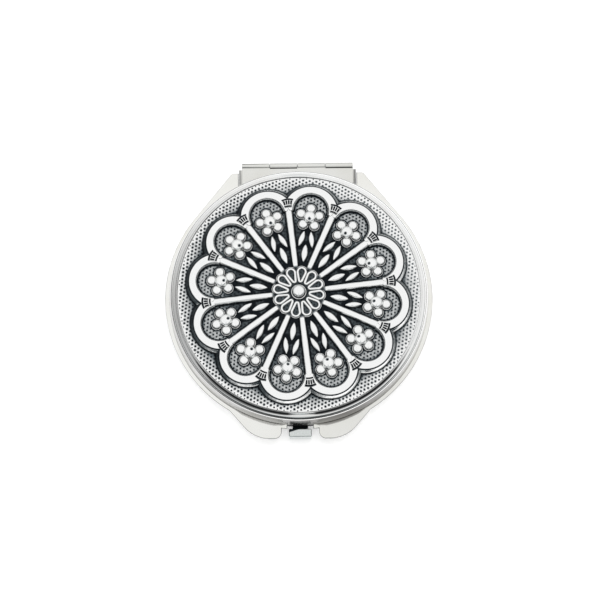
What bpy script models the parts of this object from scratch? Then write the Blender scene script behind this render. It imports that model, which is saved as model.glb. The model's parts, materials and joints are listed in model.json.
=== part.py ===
"""Round pocket mirror with a hinged, embossed lid, built as separate pieces.

Metres, +Z up. The case lies flat and closed: the origin is on its underside, at the centre
of the case circle. The hinge is at +Y and the push button at -Y.
"""

import math

import bmesh
import bpy
from mathutils import Matrix, Vector

# Build quality
TURN_STEPS = 48
ARC_STEP = math.tau / TURN_STEPS
CORNER_STEPS = 4
TUBE_SIDES = 16
WELD = 0.000001
OVERRUN = 0.001

# Fits that every piece shares
SEAT_GAP = 0.0001
SLIDE_GAP = 0.00015
PARTING_GAP = 0.0003

# Lid shell: a drawn cup with a small bead at its shoulder. Its radius sets the whole case
LID_RADIUS = 0.0338
LID_SHEET = 0.0007
LID_WALL = 0.0008
LID_LIP_RECESS = 0.0001
SHELL_BEAD_WIDTH = 0.0006
SHELL_BEAD_HEIGHT = 0.0002
SHELL_SHOULDER = 0.0004
SHELL_INNER_ROUND = 0.0004
LID_INNER_RADIUS = LID_RADIUS - LID_WALL

# Base pan: a drawn tray
PAN_INSET = 0.0001
PAN_HEIGHT = 0.0038
PAN_SHEET = 0.0008
PAN_EDGE_ROUND = 0.0023
PAN_RADIUS = LID_RADIUS - PAN_INSET
PAN_INNER_RADIUS = PAN_RADIUS - PAN_SHEET

# Hinge: four knuckles on one pin
HINGE_HALF_WIDTH = 0.0147
HINGE_SIDE_GAP = 0.0009
KNUCKLES = 4
BARREL_RADIUS = 0.0008
BARREL_BEHIND_FRAME = 0.0011
BORE_RADIUS = 0.0005
PIN_RADIUS = 0.0004
KNUCKLE_GAP = 0.0001
LEAF_SHEET = 0.0005
LEAF_STEP = 0.00003

# Push button, its hook and the lid's catch
BUTTON_TRAVEL = 0.0007
BUTTON_STOP_GAP = 0.0003
BUTTON_HALF_WIDTH = 0.00295
BUTTON_DEPTH = 0.0021
BUTTON_BELOW_FRAME_TOP = 0.0001
BUTTON_EDGE = 0.0002
NECK_HALF_WIDTH = 0.002
NECK_HEIGHT = 0.0011
NECK_ABOVE_FLOOR = 0.0003
WING_HALF_WIDTH = 0.0032
WING_DEPTH = 0.0006
WING_BEHIND_WALL = 0.001
HOOK_HALF_WIDTH = 0.0016
HOOK_THICKNESS = 0.0008
HOOK_BITE = 0.00045
NOSE_HEIGHT = 0.0005
CATCH_HALF_WIDTH = 0.0026
CATCH_SHEET = 0.0006
CATCH_BEHIND_WALL = 0.00035
CATCH_FOOT = 0.0008
CATCH_FOOT_HEIGHT = 0.0005
CATCH_ABOVE_NECK = 0.0002
CATCH_SIDE_GAP = 0.0004
CATCH_LENGTH_IN_LID = 0.0018

# Base frame: a flat stamping on the pan's wall
FRAME_FLANGE = 0.0012
FRAME_THICKNESS = 0.0008
FRAME_EDGE = 0.00012
SHOULDER_WIDTH = 0.00179
SHOULDER_SET_BACK = 0.0007
SHOULDER_ROUND = 0.0007
LOBE_REACH = 0.0024
LOBE_WIDTH = 0.00693
LOBE_FLANK = 0.00647
LOBE_ROUND = 0.009
LOBE_INNER_ROUND = 0.0019
LOBE_BUTTON_GAP = 0.00162
FRAME_RADIUS = PAN_RADIUS + FRAME_FLANGE

# Return spring and its posts
SPRING_THICKNESS = 0.0002
SPRING_HEIGHT = 0.001
SPRING_HALF_SPAN = 0.0085
SPRING_BOW = 0.00085
SPRING_LEG = 0.0007
SPRING_POINTS = 9
POST_RADIUS = 0.0005
POST_SEGMENTS = 12

# Mirrors, their pads and their bezels
LATCH_CLEARANCE = 0.0007
MIRROR_THICKNESS = 0.0012
MIRROR_EDGE = 0.0002
LID_PAD_THICKNESS = 0.001
PAD_INSET = 0.001
BEZEL_SHEET = 0.0004
BEZEL_LIP = 0.0008
BEZEL_SKIRT = 0.0014

# Rim ring round the medallion: places along its width and its height
RIM_HEIGHT = 0.00095
RIM_WIDTH = 0.00165
RIM_PROFILE_SHARES = (
    (0.0, 0.7),
    (0.08, 1.0),
    (0.21, 0.96),
    (0.32, 0.74),
    (0.45, 0.86),
    (0.62, 0.9),
    (0.82, 0.74),
    (0.94, 0.4),
    (1.0, 0.0),
)
RIM_INNER_RADIUS = LID_RADIUS - SHELL_BEAD_WIDTH - SEAT_GAP - RIM_WIDTH

# Medallion: a domed plaque
PLAQUE_SIDE_GAP = 0.00015
PLAQUE_SHEET = 0.0006
CROWN = 0.0014
PLAQUE_RINGS = 2
PLAQUE_STEPS = 36
BACKING_INSET = 0.0033
SECTORS = 12
PATTERN_TURN = math.radians(21.3)
FIELD_RADIUS = RIM_INNER_RADIUS - PLAQUE_SIDE_GAP

# Relief: its places and sizes are shares of the plaque's radius
ARCH_CENTRE_SHARE = 0.6965
ARCH_CUSP_SHARE = 0.0931
ARCH_BAND_SHARE = 0.0479
ARCH_SINK_SHARE = 0.0096
ARCH_POINTS = 6

COLUMN_INNER_SHARE = 0.211
COLUMN_OUTER_SHARE = 0.735
COLUMN_FOOT_HALF_SHARE = 0.0192
COLUMN_HEAD_HALF_SHARE = 0.0288
COLUMN_SIDES = 6

CAPITAL_INNER_SHARE = 0.7252
CAPITAL_OUTER_SHARE = 0.8083
CAPITAL_INNER_HALF_SHARE = 0.0304
CAPITAL_OUTER_HALF_SHARE = 0.0559
CAPITAL_FLATNESS_SHARE = 0.95

FLOWER_PLACE_SHARE = 0.652
PETALS = 5
PETAL_OFFSET_SHARE = 0.08
PETAL_RADIUS_SHARE = 0.0431
PETAL_SINK_SHARE = 0.0016
PETAL_SEGMENTS = 6
PETAL_RINGS = 3
FLOWER_BEAD_RADIUS_SHARE = 0.048
FLOWER_BEAD_RISE_SHARE = 0.0256
BEAD_SEGMENTS = 7
BEAD_RINGS = 4

LEAF_SHARES = (
    ((0.262, 0), (0.406, 0)),
    ((0.393, -0.0495), (0.5175, -0.024)),
    ((0.393, 0.0495), (0.5175, 0.024)),
)
LEAF_HALF_WIDTH_SHARE = 0.0224
LEAF_HEIGHT_SHARE = 0.024
LEAF_SEGMENTS = 6
LEAF_RINGS = 2

ROSETTE_BEAD_SHARE = 0.0524
ROSETTE_BEAD_RISE_SHARE = 0.0176
ROSETTE_BEAD_SEGMENTS = 12
ROSETTE_BEAD_RINGS = 5
ROSETTE_COLLAR_SHARE = 0.0607
ROSETTE_COLLAR_WIRE_SHARE = 0.009
ROSETTE_LOOP_ENDS_SHARES = (0.0911, 0.214)
ROSETTE_LOOP_WIDTH_SHARE = 0.72
ROSETTE_LOOP_TAPER_SHARE = 0.45
ROSETTE_WIRE_SHARE = 0.0125
ROSETTE_LOOP_POINTS = 8

# Heights of the base and of the latch, from the table up
FRAME_BOTTOM = PAN_HEIGHT + SEAT_GAP
FRAME_TOP = FRAME_BOTTOM + FRAME_THICKNESS
BASE_LIP_BOTTOM = PAN_HEIGHT - BEZEL_SHEET
BASE_MIRROR_BOTTOM = BASE_LIP_BOTTOM - SEAT_GAP - MIRROR_THICKNESS
BASE_PAD_BOTTOM = PAN_SHEET + SEAT_GAP
BASE_PAD_TOP = BASE_MIRROR_BOTTOM - SEAT_GAP
NECK_BOTTOM = PAN_SHEET + NECK_ABOVE_FLOOR
NECK_TOP = NECK_BOTTOM + NECK_HEIGHT
FOOT_BOTTOM = NECK_TOP + CATCH_ABOVE_NECK
NOSE_BOTTOM = FOOT_BOTTOM + CATCH_FOOT_HEIGHT + SEAT_GAP

# Heights of the lid, from the parting line up
LID_BOTTOM = FRAME_TOP + PARTING_GAP
LID_LIP_BOTTOM = LID_BOTTOM + LID_LIP_RECESS
LID_LIP_TOP = LID_LIP_BOTTOM + BEZEL_SHEET
LID_MIRROR_BOTTOM = LID_LIP_TOP + SEAT_GAP
LID_PAD_BOTTOM = LID_MIRROR_BOTTOM + MIRROR_THICKNESS + SEAT_GAP
LID_CEILING = LID_PAD_BOTTOM + LID_PAD_THICKNESS + SEAT_GAP
LID_FLOOR = LID_CEILING + LID_SHEET
PLAQUE_EDGE_BOTTOM = LID_FLOOR + SEAT_GAP
PLAQUE_EDGE_TOP = PLAQUE_EDGE_BOTTOM + PLAQUE_SHEET

# Places of the hinge, the button and the latch
HINGE_Z = (FRAME_TOP + LID_BOTTOM) / 2
HINGE_Y = FRAME_RADIUS + BARREL_BEHIND_FRAME
HINGE_NOTCH_HALF = HINGE_HALF_WIDTH + HINGE_SIDE_GAP
BUTTON_REAR_Y = -(PAN_RADIUS + BUTTON_STOP_GAP + BUTTON_TRAVEL)
BUTTON_FRONT_Y = BUTTON_REAR_Y - BUTTON_DEPTH
CATCH_FRONT_Y = -(LID_INNER_RADIUS - CATCH_BEHIND_WALL)
CATCH_REAR_Y = CATCH_FRONT_Y + CATCH_SHEET
FOOT_END_Y = CATCH_REAR_Y + CATCH_FOOT
NOSE_TIP_Y = FOOT_END_Y - HOOK_BITE
HOOK_FRONT_Y = FOOT_END_Y + HOOK_BITE / 2
HOOK_REAR_Y = HOOK_FRONT_Y + HOOK_THICKNESS
SPRING_REAR_Y = HOOK_REAR_Y + SEAT_GAP + SPRING_THICKNESS
MIRROR_RADIUS = -(SPRING_REAR_Y + BUTTON_TRAVEL + LATCH_CLEARANCE)

SILVER = ((0.86, 0.86, 0.87), 0.12, 1.0)
BRIGHT_SILVER = ((0.92, 0.92, 0.93), 0.08, 1.0)
OXIDISED_SILVER = ((0.62, 0.63, 0.65), 0.28, 1.0)
STEEL = ((0.62, 0.62, 0.63), 0.3, 1.0)
GLASS = ((0.93, 0.95, 0.95), 0.02, 1.0)
FOAM = ((0.9, 0.9, 0.88), 0.8, 0.0)
FILLER = ((0.35, 0.33, 0.3), 0.7, 0.0)


def clear_scene():
    """Removes what a new file holds."""
    for obj in list(bpy.data.objects):
        bpy.data.objects.remove(obj, do_unlink=True)


def new_collection(name):
    collection = bpy.data.collections.new(name)
    bpy.context.scene.collection.children.link(collection)
    return collection


clear_scene()
PARTS = new_collection("pocket_mirror")
CUTTERS = new_collection("cutters")


def add_object(name, data, collection):
    obj = bpy.data.objects.new(name, data)
    collection.objects.link(obj)
    if collection is CUTTERS:
        obj.hide_render = True
        obj.display_type = "WIRE"
    return obj


def object_from_bmesh(name, bm, collection):
    mesh = bpy.data.meshes.new(name)
    bm.to_mesh(mesh)
    bm.free()
    return add_object(name, mesh, collection)


def finish(obj, look, parent):
    """Gives a piece its own material, its shading and its parent."""
    colour, roughness, metallic = look
    material = bpy.data.materials.new(obj.name)
    material.use_nodes = True
    shader = material.node_tree.nodes["Principled BSDF"]
    shader.inputs["Base Color"].default_value = (*colour, 1.0)
    shader.inputs["Roughness"].default_value = roughness
    shader.inputs["Metallic"].default_value = metallic
    obj.data.materials.clear()
    obj.data.materials.append(material)
    obj.data.shade_smooth()
    obj.data.set_sharp_from_angle(angle=math.radians(35))
    if parent:
        obj.parent = parent
        obj.matrix_parent_inverse = Matrix.Translation(-parent.location)


def pivot(name, place):
    """An empty on a joint's axis, which the joint's moving pieces follow."""
    empty = add_object(name, None, PARTS)
    empty.location = place
    return empty


def arc(centre, radius, start, end, steps):
    """Points along an arc, both ends included."""
    points = []
    for i in range(steps + 1):
        angle = start + (end - start) * i / steps
        points.append((centre[0] + radius * math.cos(angle), centre[1] + radius * math.sin(angle)))
    return points


def arc_on_grid(radius, start, end):
    """Points along an arc about the origin, in steps close to those of the turned pieces."""
    steps = max(1, round(abs(end - start) / ARC_STEP))
    return arc((0, 0), radius, start, end, steps)


def rounded_corner(before, corner, after, radius, room):
    """Points of the arc that rounds one corner of an outline, within the room on its sides."""
    corner = Vector(corner)
    to_before = (Vector(before) - corner).normalized()
    to_after = (Vector(after) - corner).normalized()
    half = to_before.angle(to_after) / 2
    reach = min(radius / math.tan(half), room)
    radius = reach * math.tan(half)
    centre = corner + (to_before + to_after).normalized() * radius / math.sin(half)
    first = corner + to_before * reach - centre
    last = corner + to_after * reach - centre
    start = math.atan2(first.y, first.x)
    sweep = math.atan2(last.y, last.x) - start
    sweep = (sweep + math.pi) % math.tau - math.pi
    return arc(centre, radius, start, start + sweep, CORNER_STEPS)


def turned(name, profile, steps=TURN_STEPS, collection=PARTS):
    """A solid of revolution: the profile runs down its outer side, top to bottom."""
    mesh = bpy.data.meshes.new(name)
    points = [(r, 0, z) for r, z in profile]
    edges = [(i, i + 1) for i in range(len(points) - 1)]
    if profile[0][0] > 0:
        edges.append((len(points) - 1, 0))
    mesh.from_pydata(points, edges, [])
    obj = add_object(name, mesh, collection)
    screw = obj.modifiers.new("Turn", "SCREW")
    screw.axis = "Z"
    screw.steps = steps
    screw.render_steps = steps
    screw.use_merge_vertices = True
    screw.merge_threshold = WELD
    return obj


def mesh_from_curve(curve_object, collection):
    """Replaces a curve by its mesh, with the caps welded on."""
    name = curve_object.name
    curve_object.name = name + "_curve"
    bpy.context.view_layer.update()
    evaluated = curve_object.evaluated_get(bpy.context.evaluated_depsgraph_get())
    mesh = bpy.data.meshes.new_from_object(evaluated)
    mesh.name = name
    bm = bmesh.new()
    bm.from_mesh(mesh)
    bmesh.ops.remove_doubles(bm, verts=bm.verts, dist=WELD)
    bm.to_mesh(mesh)
    bm.free()
    obj = add_object(name, mesh, collection)
    obj.matrix_world = curve_object.matrix_world
    bpy.data.objects.remove(curve_object, do_unlink=True)
    return obj


def plate(name, outlines, bottom, top, collection=PARTS):
    """A flat plate from closed outlines; an outline inside another is a hole."""
    curve = bpy.data.curves.new(name, "CURVE")
    curve.dimensions = "2D"
    curve.fill_mode = "BOTH"
    curve.extrude = (top - bottom) / 2
    for outline in outlines:
        spline = curve.splines.new("POLY")
        spline.points.add(len(outline) - 1)
        for point, (x, y) in zip(spline.points, outline):
            point.co = (x, y, 0, 1)
        spline.use_cyclic_u = True
    obj = add_object(name, curve, collection)
    obj.location.z = (bottom + top) / 2
    return mesh_from_curve(obj, collection)


def tube(name, points, radius, closed, sides, collection):
    """A round bar along points."""
    curve = bpy.data.curves.new(name, "CURVE")
    curve.dimensions = "3D"
    curve.bevel_depth = radius
    curve.bevel_resolution = sides // 2 - 2
    curve.use_fill_caps = not closed
    spline = curve.splines.new("POLY")
    spline.points.add(len(points) - 1)
    for point, place in zip(spline.points, points):
        point.co = (*place, 1)
    spline.use_cyclic_u = closed
    return mesh_from_curve(add_object(name, curve, collection), collection)


def box(name, low, high, collection):
    """A block between two corners."""
    bm = bmesh.new()
    size = Vector(high) - Vector(low)
    middle = (Vector(high) + Vector(low)) / 2
    bmesh.ops.create_cube(bm, size=1, matrix=Matrix.Translation(middle) @ Matrix.Diagonal(size).to_4x4())
    return object_from_bmesh(name, bm, collection)


def rod(name, radius, end_radius, start, end, segments, collection, flatness_share=1):
    """A round or flattened bar, or a taper, from one point to another."""
    start, end = Vector(start), Vector(end)
    turn = (end - start).to_track_quat("Z", "Y").to_matrix().to_4x4()
    flatten = Matrix.Diagonal((1, flatness_share, 1, 1))
    bm = bmesh.new()
    bmesh.ops.create_cone(
        bm,
        cap_ends=True,
        segments=segments,
        radius1=radius,
        radius2=end_radius,
        depth=(end - start).length,
        matrix=Matrix.Translation((start + end) / 2) @ turn @ flatten,
    )
    return object_from_bmesh(name, bm, collection)


def ball(name, centre, radii, turn, segments, rings, collection):
    """An ellipsoid whose first radius lies along the turn about Z."""
    bm = bmesh.new()
    place = Matrix.Translation(centre) @ Matrix.Rotation(turn, 4, "Z") @ Matrix.Diagonal(radii).to_4x4()
    bmesh.ops.create_uvsphere(bm, u_segments=segments, v_segments=rings, radius=1, matrix=place)
    return object_from_bmesh(name, bm, collection)


def combine(obj, other, operation):
    """Cuts a piece with another, or joins the other to it."""
    modifier = obj.modifiers.new(other.name, "BOOLEAN")
    modifier.operation = operation
    modifier.object = other


def bevel(obj, width):
    modifier = obj.modifiers.new("Edges", "BEVEL")
    modifier.width = width
    modifier.segments = 1
    modifier.limit_method = "ANGLE"
    modifier.angle_limit = math.radians(40)


def make_base_pan():
    """Drawn tray with a rounded lower edge and a window for the button's neck."""
    inner_round = PAN_EDGE_ROUND - PAN_SHEET
    outer_centre = (PAN_RADIUS - PAN_EDGE_ROUND, PAN_EDGE_ROUND)
    inner = arc(outer_centre, inner_round, -math.pi / 2, 0, CORNER_STEPS)
    outer = arc(outer_centre, PAN_EDGE_ROUND, 0, -math.pi / 2, CORNER_STEPS)
    profile = [(0, PAN_SHEET)] + inner + [(PAN_INNER_RADIUS, PAN_HEIGHT), (PAN_RADIUS, PAN_HEIGHT)]
    pan = turned("base_pan", profile + outer + [(0, 0)])
    window = box(
        "neck_window",
        (-NECK_HALF_WIDTH - SLIDE_GAP, -PAN_RADIUS - OVERRUN, NECK_BOTTOM - SLIDE_GAP),
        (NECK_HALF_WIDTH + SLIDE_GAP, -PAN_RADIUS + PAN_EDGE_ROUND, NECK_TOP + SLIDE_GAP),
        CUTTERS,
    )
    combine(pan, window, "DIFFERENCE")
    return pan


def frame_outline():
    """Half of the frame's outline from the hinge notch round to the button's recess, at +X."""
    notch_back = math.acos(HINGE_NOTCH_HALF / PAN_RADIUS)
    shoulder = Vector((HINGE_NOTCH_HALF + SHOULDER_WIDTH, FRAME_RADIUS - SHOULDER_SET_BACK))
    tangent = math.atan2(shoulder.y, shoulder.x) - math.acos(FRAME_RADIUS / shoulder.length)
    tangent_point = (FRAME_RADIUS * math.cos(tangent), FRAME_RADIUS * math.sin(tangent))
    lobe_front = -(FRAME_RADIUS + LOBE_REACH)
    inner_x = BUTTON_HALF_WIDTH + LOBE_BUTTON_GAP
    outer_x = inner_x + LOBE_WIDTH
    lobe_start = -math.acos((outer_x + LOBE_FLANK) / FRAME_RADIUS)
    lobe_meets = -math.acos(inner_x / FRAME_RADIUS)
    leave = (FRAME_RADIUS * math.cos(lobe_start), FRAME_RADIUS * math.sin(lobe_start))
    outer_corner = (outer_x, lobe_front)
    inner_corner = (inner_x, lobe_front)
    meeting = (inner_x, FRAME_RADIUS * math.sin(lobe_meets))
    recess_half = BUTTON_HALF_WIDTH + SLIDE_GAP
    recess_outer = -math.acos(recess_half / FRAME_RADIUS)
    recess_back = -math.acos(recess_half / PAN_RADIUS)

    points = arc_on_grid(PAN_RADIUS, math.pi / 2, notch_back)
    points.append((HINGE_NOTCH_HALF, shoulder.y))
    points += rounded_corner(points[-1], shoulder, tangent_point, SHOULDER_ROUND, SHOULDER_WIDTH / 2)
    points += arc_on_grid(FRAME_RADIUS, tangent, lobe_start)
    points += rounded_corner(leave, outer_corner, inner_corner, LOBE_ROUND, LOBE_WIDTH - LOBE_INNER_ROUND)
    points += rounded_corner(outer_corner, inner_corner, meeting, LOBE_INNER_ROUND, LOBE_REACH)
    points += arc_on_grid(FRAME_RADIUS, lobe_meets, recess_outer)
    points += arc_on_grid(PAN_RADIUS, recess_back, -math.pi / 2)
    return points


def make_base_frame():
    """Flat stamping with rear shoulders, front lobes, and gaps for the hinge and the button."""
    right = frame_outline()
    left = [(-x, y) for x, y in reversed(right[1:-1])]
    hole = arc_on_grid(PAN_INNER_RADIUS, 0, math.tau)[:-1]
    frame = plate("base_frame", [right + left, hole], FRAME_BOTTOM, FRAME_TOP)
    bevel(frame, FRAME_EDGE)
    return frame


def make_mirror(name, face, back):
    """Round glass whose mirrored face has a broken edge. Its back may be above the face."""
    edge = MIRROR_EDGE if face > back else -MIRROR_EDGE
    profile = [
        (0, face),
        (MIRROR_RADIUS - MIRROR_EDGE, face),
        (MIRROR_RADIUS, face - edge),
        (MIRROR_RADIUS, back),
        (0, back),
    ]
    return turned(name, profile if face > back else list(reversed(profile)))


def make_pad(name, bottom, top):
    radius = MIRROR_RADIUS - PAD_INSET
    return turned(name, [(0, top), (radius, top), (radius, bottom), (0, bottom)], PLAQUE_STEPS)


def bezel_profile(outer_radius, lip_face, lip_back, skirt_end):
    """A flat lip over the mirror's edge with a skirt along the case wall."""
    lip_inner = MIRROR_RADIUS - BEZEL_LIP
    skirt_inner = outer_radius - BEZEL_SHEET
    return [
        (lip_inner, lip_face),
        (outer_radius, lip_face),
        (outer_radius, skirt_end),
        (skirt_inner, skirt_end),
        (skirt_inner, lip_back),
        (lip_inner, lip_back),
    ]


def make_base_bezel():
    """Ring over the lower mirror's edge, slotted for the hook and the catch."""
    outer = PAN_INNER_RADIUS - SEAT_GAP
    profile = bezel_profile(outer, PAN_HEIGHT, BASE_LIP_BOTTOM, PAN_HEIGHT - BEZEL_SKIRT)
    bezel = turned("base_mirror_bezel", profile)
    half = CATCH_HALF_WIDTH + CATCH_SIDE_GAP
    slot = box(
        "base_bezel_slot",
        (-half, -PAN_RADIUS, NECK_TOP),
        (half, HOOK_REAR_Y + BUTTON_TRAVEL + SLIDE_GAP, FRAME_TOP),
        CUTTERS,
    )
    combine(bezel, slot, "DIFFERENCE")
    return bezel


def make_lid_bezel():
    """Ring over the upper mirror's edge, slotted for the catch."""
    outer = LID_INNER_RADIUS - SEAT_GAP
    profile = bezel_profile(outer, LID_LIP_BOTTOM, LID_LIP_TOP, LID_LIP_BOTTOM + BEZEL_SKIRT)
    bezel = turned("lid_mirror_bezel", list(reversed(profile)))
    half = CATCH_HALF_WIDTH + SEAT_GAP
    slot = box(
        "lid_bezel_slot",
        (-half, -LID_RADIUS, LID_BOTTOM - OVERRUN),
        (half, CATCH_REAR_Y + SEAT_GAP, LID_FLOOR),
        CUTTERS,
    )
    combine(bezel, slot, "DIFFERENCE")
    return bezel


def make_lid_shell():
    """Drawn cup: flat floor for the medallion, small bead, shoulder and skirt."""
    bead_inner = LID_RADIUS - SHELL_BEAD_WIDTH
    bead_top = LID_FLOOR + SHELL_BEAD_HEIGHT
    corner = (LID_INNER_RADIUS - SHELL_INNER_ROUND, LID_CEILING - SHELL_INNER_ROUND)
    inner = arc(corner, SHELL_INNER_ROUND, 0, math.pi / 2, 1)
    profile = [
        (0, LID_FLOOR),
        (bead_inner, LID_FLOOR),
        (bead_inner + SHELL_BEAD_WIDTH / 4, bead_top),
        (bead_inner + SHELL_BEAD_WIDTH / 2, bead_top + SHELL_BEAD_HEIGHT / 4),
        (bead_inner + SHELL_BEAD_WIDTH * 3 / 4, bead_top - SHELL_BEAD_HEIGHT / 4),
        (LID_RADIUS, LID_FLOOR - SHELL_SHOULDER),
        (LID_RADIUS, LID_BOTTOM),
        (LID_INNER_RADIUS, LID_BOTTOM),
    ]
    return turned("lid_shell", profile + inner + [(0, LID_CEILING)])


def make_rim_ring():
    """Turned ring with an inner bead and a wide rounded band."""
    bottom = LID_FLOOR + SEAT_GAP
    profile = [(RIM_INNER_RADIUS + RIM_WIDTH * s, bottom + RIM_HEIGHT * t) for s, t in RIM_PROFILE_SHARES]
    return turned("lid_rim_ring", profile + [(RIM_INNER_RADIUS, bottom)])


def dome(radius):
    """Rise of the plaque's dome above its edge."""
    return CROWN * (1 - (radius / FIELD_RADIUS) ** 2)


def dome_profile(radius, edge_height):
    """Points from the centre out to a radius, along the dome."""
    points = []
    for i in range(PLAQUE_RINGS + 1):
        r = radius * i / PLAQUE_RINGS
        points.append((r, edge_height + dome(r)))
    return points


def make_backing():
    """Filler under the dome of the thin plaque."""
    radius = FIELD_RADIUS - BACKING_INSET
    top = dome_profile(radius, PLAQUE_EDGE_BOTTOM - SEAT_GAP)
    profile = top + [(radius, PLAQUE_EDGE_BOTTOM), (0, PLAQUE_EDGE_BOTTOM)]
    return turned("medallion_backing", profile, PLAQUE_STEPS)


def of_field(share):
    """A size of the relief, which follows the plaque's radius."""
    return FIELD_RADIUS * share


def on_ground(along_share, side_share, turn, rise_share):
    """A point of the medallion: out along a bay's axis, aside, and above or below the ground."""
    along, side = of_field(along_share), of_field(side_share)
    x = along * math.cos(turn) - side * math.sin(turn)
    y = along * math.sin(turn) + side * math.cos(turn)
    return (x, y, PLAQUE_EDGE_TOP + dome(math.hypot(along, side)) + of_field(rise_share))


def add_arch(name, turn, relief):
    """Round band from one capital to the next."""
    spread = math.pi / SECTORS
    half_chord = ARCH_CENTRE_SHARE * math.sin(spread)
    radius_share = math.hypot(half_chord, ARCH_CUSP_SHARE)
    cusp = ARCH_CENTRE_SHARE * math.cos(spread) + ARCH_CUSP_SHARE
    reach = math.atan2(cusp * math.sin(spread), cusp * math.cos(spread) - ARCH_CENTRE_SHARE)
    points = []
    for along, side in arc((ARCH_CENTRE_SHARE, 0), radius_share, -reach, reach, ARCH_POINTS - 1):
        points.append(on_ground(along, side, turn, -ARCH_SINK_SHARE))
    tube(name, points, of_field(ARCH_BAND_SHARE), False, 6, relief)


def add_column(name, turn, relief):
    """Tapered half-round bar and its flared capital."""
    foot = on_ground(COLUMN_INNER_SHARE, 0, turn, 0)
    head = on_ground(COLUMN_OUTER_SHARE, 0, turn, 0)
    widths = of_field(COLUMN_FOOT_HALF_SHARE), of_field(COLUMN_HEAD_HALF_SHARE)
    rod(name, *widths, foot, head, COLUMN_SIDES, relief)
    start = on_ground(CAPITAL_INNER_SHARE, 0, turn, 0)
    end = on_ground(CAPITAL_OUTER_SHARE, 0, turn, 0)
    widths = of_field(CAPITAL_INNER_HALF_SHARE), of_field(CAPITAL_OUTER_HALF_SHARE)
    rod(f"{name}_capital", *widths, start, end, COLUMN_SIDES, relief, CAPITAL_FLATNESS_SHARE)


def add_bead(name, place, radius_share, turn, segments, rings, relief):
    """A round bead of the relief."""
    radius = of_field(radius_share)
    ball(name, place, (radius, radius, radius), turn, segments, rings, relief)


def add_flower(name, turn, relief):
    """Five round petals and a raised centre bead."""
    for i in range(PETALS):
        angle = math.tau * i / PETALS
        along = FLOWER_PLACE_SHARE + PETAL_OFFSET_SHARE * math.cos(angle)
        place = on_ground(along, PETAL_OFFSET_SHARE * math.sin(angle), turn, -PETAL_SINK_SHARE)
        petal = f"{name}_petal_{i}"
        add_bead(petal, place, PETAL_RADIUS_SHARE, turn + angle, PETAL_SEGMENTS, PETAL_RINGS, relief)
    place = on_ground(FLOWER_PLACE_SHARE, 0, turn, FLOWER_BEAD_RISE_SHARE)
    add_bead(f"{name}_bead", place, FLOWER_BEAD_RADIUS_SHARE, turn, BEAD_SEGMENTS, BEAD_RINGS, relief)


def add_leaf(name, start, end, turn, relief):
    """Pointed leaf between two places, each a share along the bay's axis and a share aside."""
    angle = turn + math.atan2(end[1] - start[1], end[0] - start[0])
    place = on_ground((start[0] + end[0]) / 2, (start[1] + end[1]) / 2, turn, 0)
    half_length = of_field(math.dist(start, end) / 2)
    radii = (half_length, of_field(LEAF_HALF_WIDTH_SHARE), of_field(LEAF_HEIGHT_SHARE))
    ball(name, place, radii, angle, LEAF_SEGMENTS, LEAF_RINGS, relief)


def add_rosette_loop(name, turn, relief):
    """Drop-shaped wire loop that points at the centre."""
    inner, outer = ROSETTE_LOOP_ENDS_SHARES
    middle = (inner + outer) / 2
    half_width = middle * math.tan(math.pi / SECTORS) * ROSETTE_LOOP_WIDTH_SHARE
    points = []
    for i in range(ROSETTE_LOOP_POINTS):
        angle = math.tau * i / ROSETTE_LOOP_POINTS
        along = middle + (outer - inner) / 2 * math.cos(angle)
        side = half_width * math.sin(angle) * (1 + ROSETTE_LOOP_TAPER_SHARE * math.cos(angle))
        points.append(on_ground(along, side, turn, 0))
    tube(name, points, of_field(ROSETTE_WIRE_SHARE), True, 4, relief)


def add_rosette_centre(relief):
    """Bead in the middle, with a wire collar round it."""
    collar = []
    for i in range(ROSETTE_BEAD_SEGMENTS):
        turn = PATTERN_TURN + math.tau * i / ROSETTE_BEAD_SEGMENTS
        collar.append(on_ground(ROSETTE_COLLAR_SHARE, 0, turn, 0))
    tube("rosette_collar", collar, of_field(ROSETTE_COLLAR_WIRE_SHARE), True, 4, relief)
    place = on_ground(0, 0, 0, ROSETTE_BEAD_RISE_SHARE)
    sides = (ROSETTE_BEAD_SEGMENTS, ROSETTE_BEAD_RINGS)
    add_bead("rosette_bead", place, ROSETTE_BEAD_SHARE, PATTERN_TURN, *sides, relief)


def make_medallion():
    """Domed plaque with twelve bays of relief and a rosette in the middle.

    The relief is joined to a thick blank, which is then hollowed from below to sheet thickness.
    """
    blank_bottom = PLAQUE_EDGE_BOTTOM - of_field(ARCH_BAND_SHARE)
    top = dome_profile(FIELD_RADIUS, PLAQUE_EDGE_TOP)
    medallion = turned("medallion", top + [(FIELD_RADIUS, blank_bottom), (0, blank_bottom)], PLAQUE_STEPS)
    hollow_bottom = blank_bottom - OVERRUN
    hollow_top = dome_profile(FIELD_RADIUS + OVERRUN, PLAQUE_EDGE_BOTTOM)
    hollow_profile = hollow_top + [(FIELD_RADIUS + OVERRUN, hollow_bottom), (0, hollow_bottom)]
    hollow = turned("plaque_hollow", hollow_profile, PLAQUE_STEPS, CUTTERS)
    relief = bpy.data.collections.new("relief")
    CUTTERS.children.link(relief)
    for i in range(SECTORS):
        turn = PATTERN_TURN + math.tau * i / SECTORS
        add_arch(f"arch_{i}", turn, relief)
        add_column(f"column_{i}", turn + math.pi / SECTORS, relief)
        add_flower(f"flower_{i}", turn, relief)
        for j, (start, end) in enumerate(LEAF_SHARES):
            add_leaf(f"leaf_{i}_{j}", start, end, turn, relief)
        add_rosette_loop(f"rosette_loop_{i}", turn, relief)
    add_rosette_centre(relief)
    for obj in relief.objects:
        obj.hide_render = True
        obj.display_type = "WIRE"
    union = medallion.modifiers.new("Relief", "BOOLEAN")
    union.operation = "UNION"
    union.operand_type = "COLLECTION"
    union.collection = relief
    combine(medallion, hollow, "DIFFERENCE")
    return medallion


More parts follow.
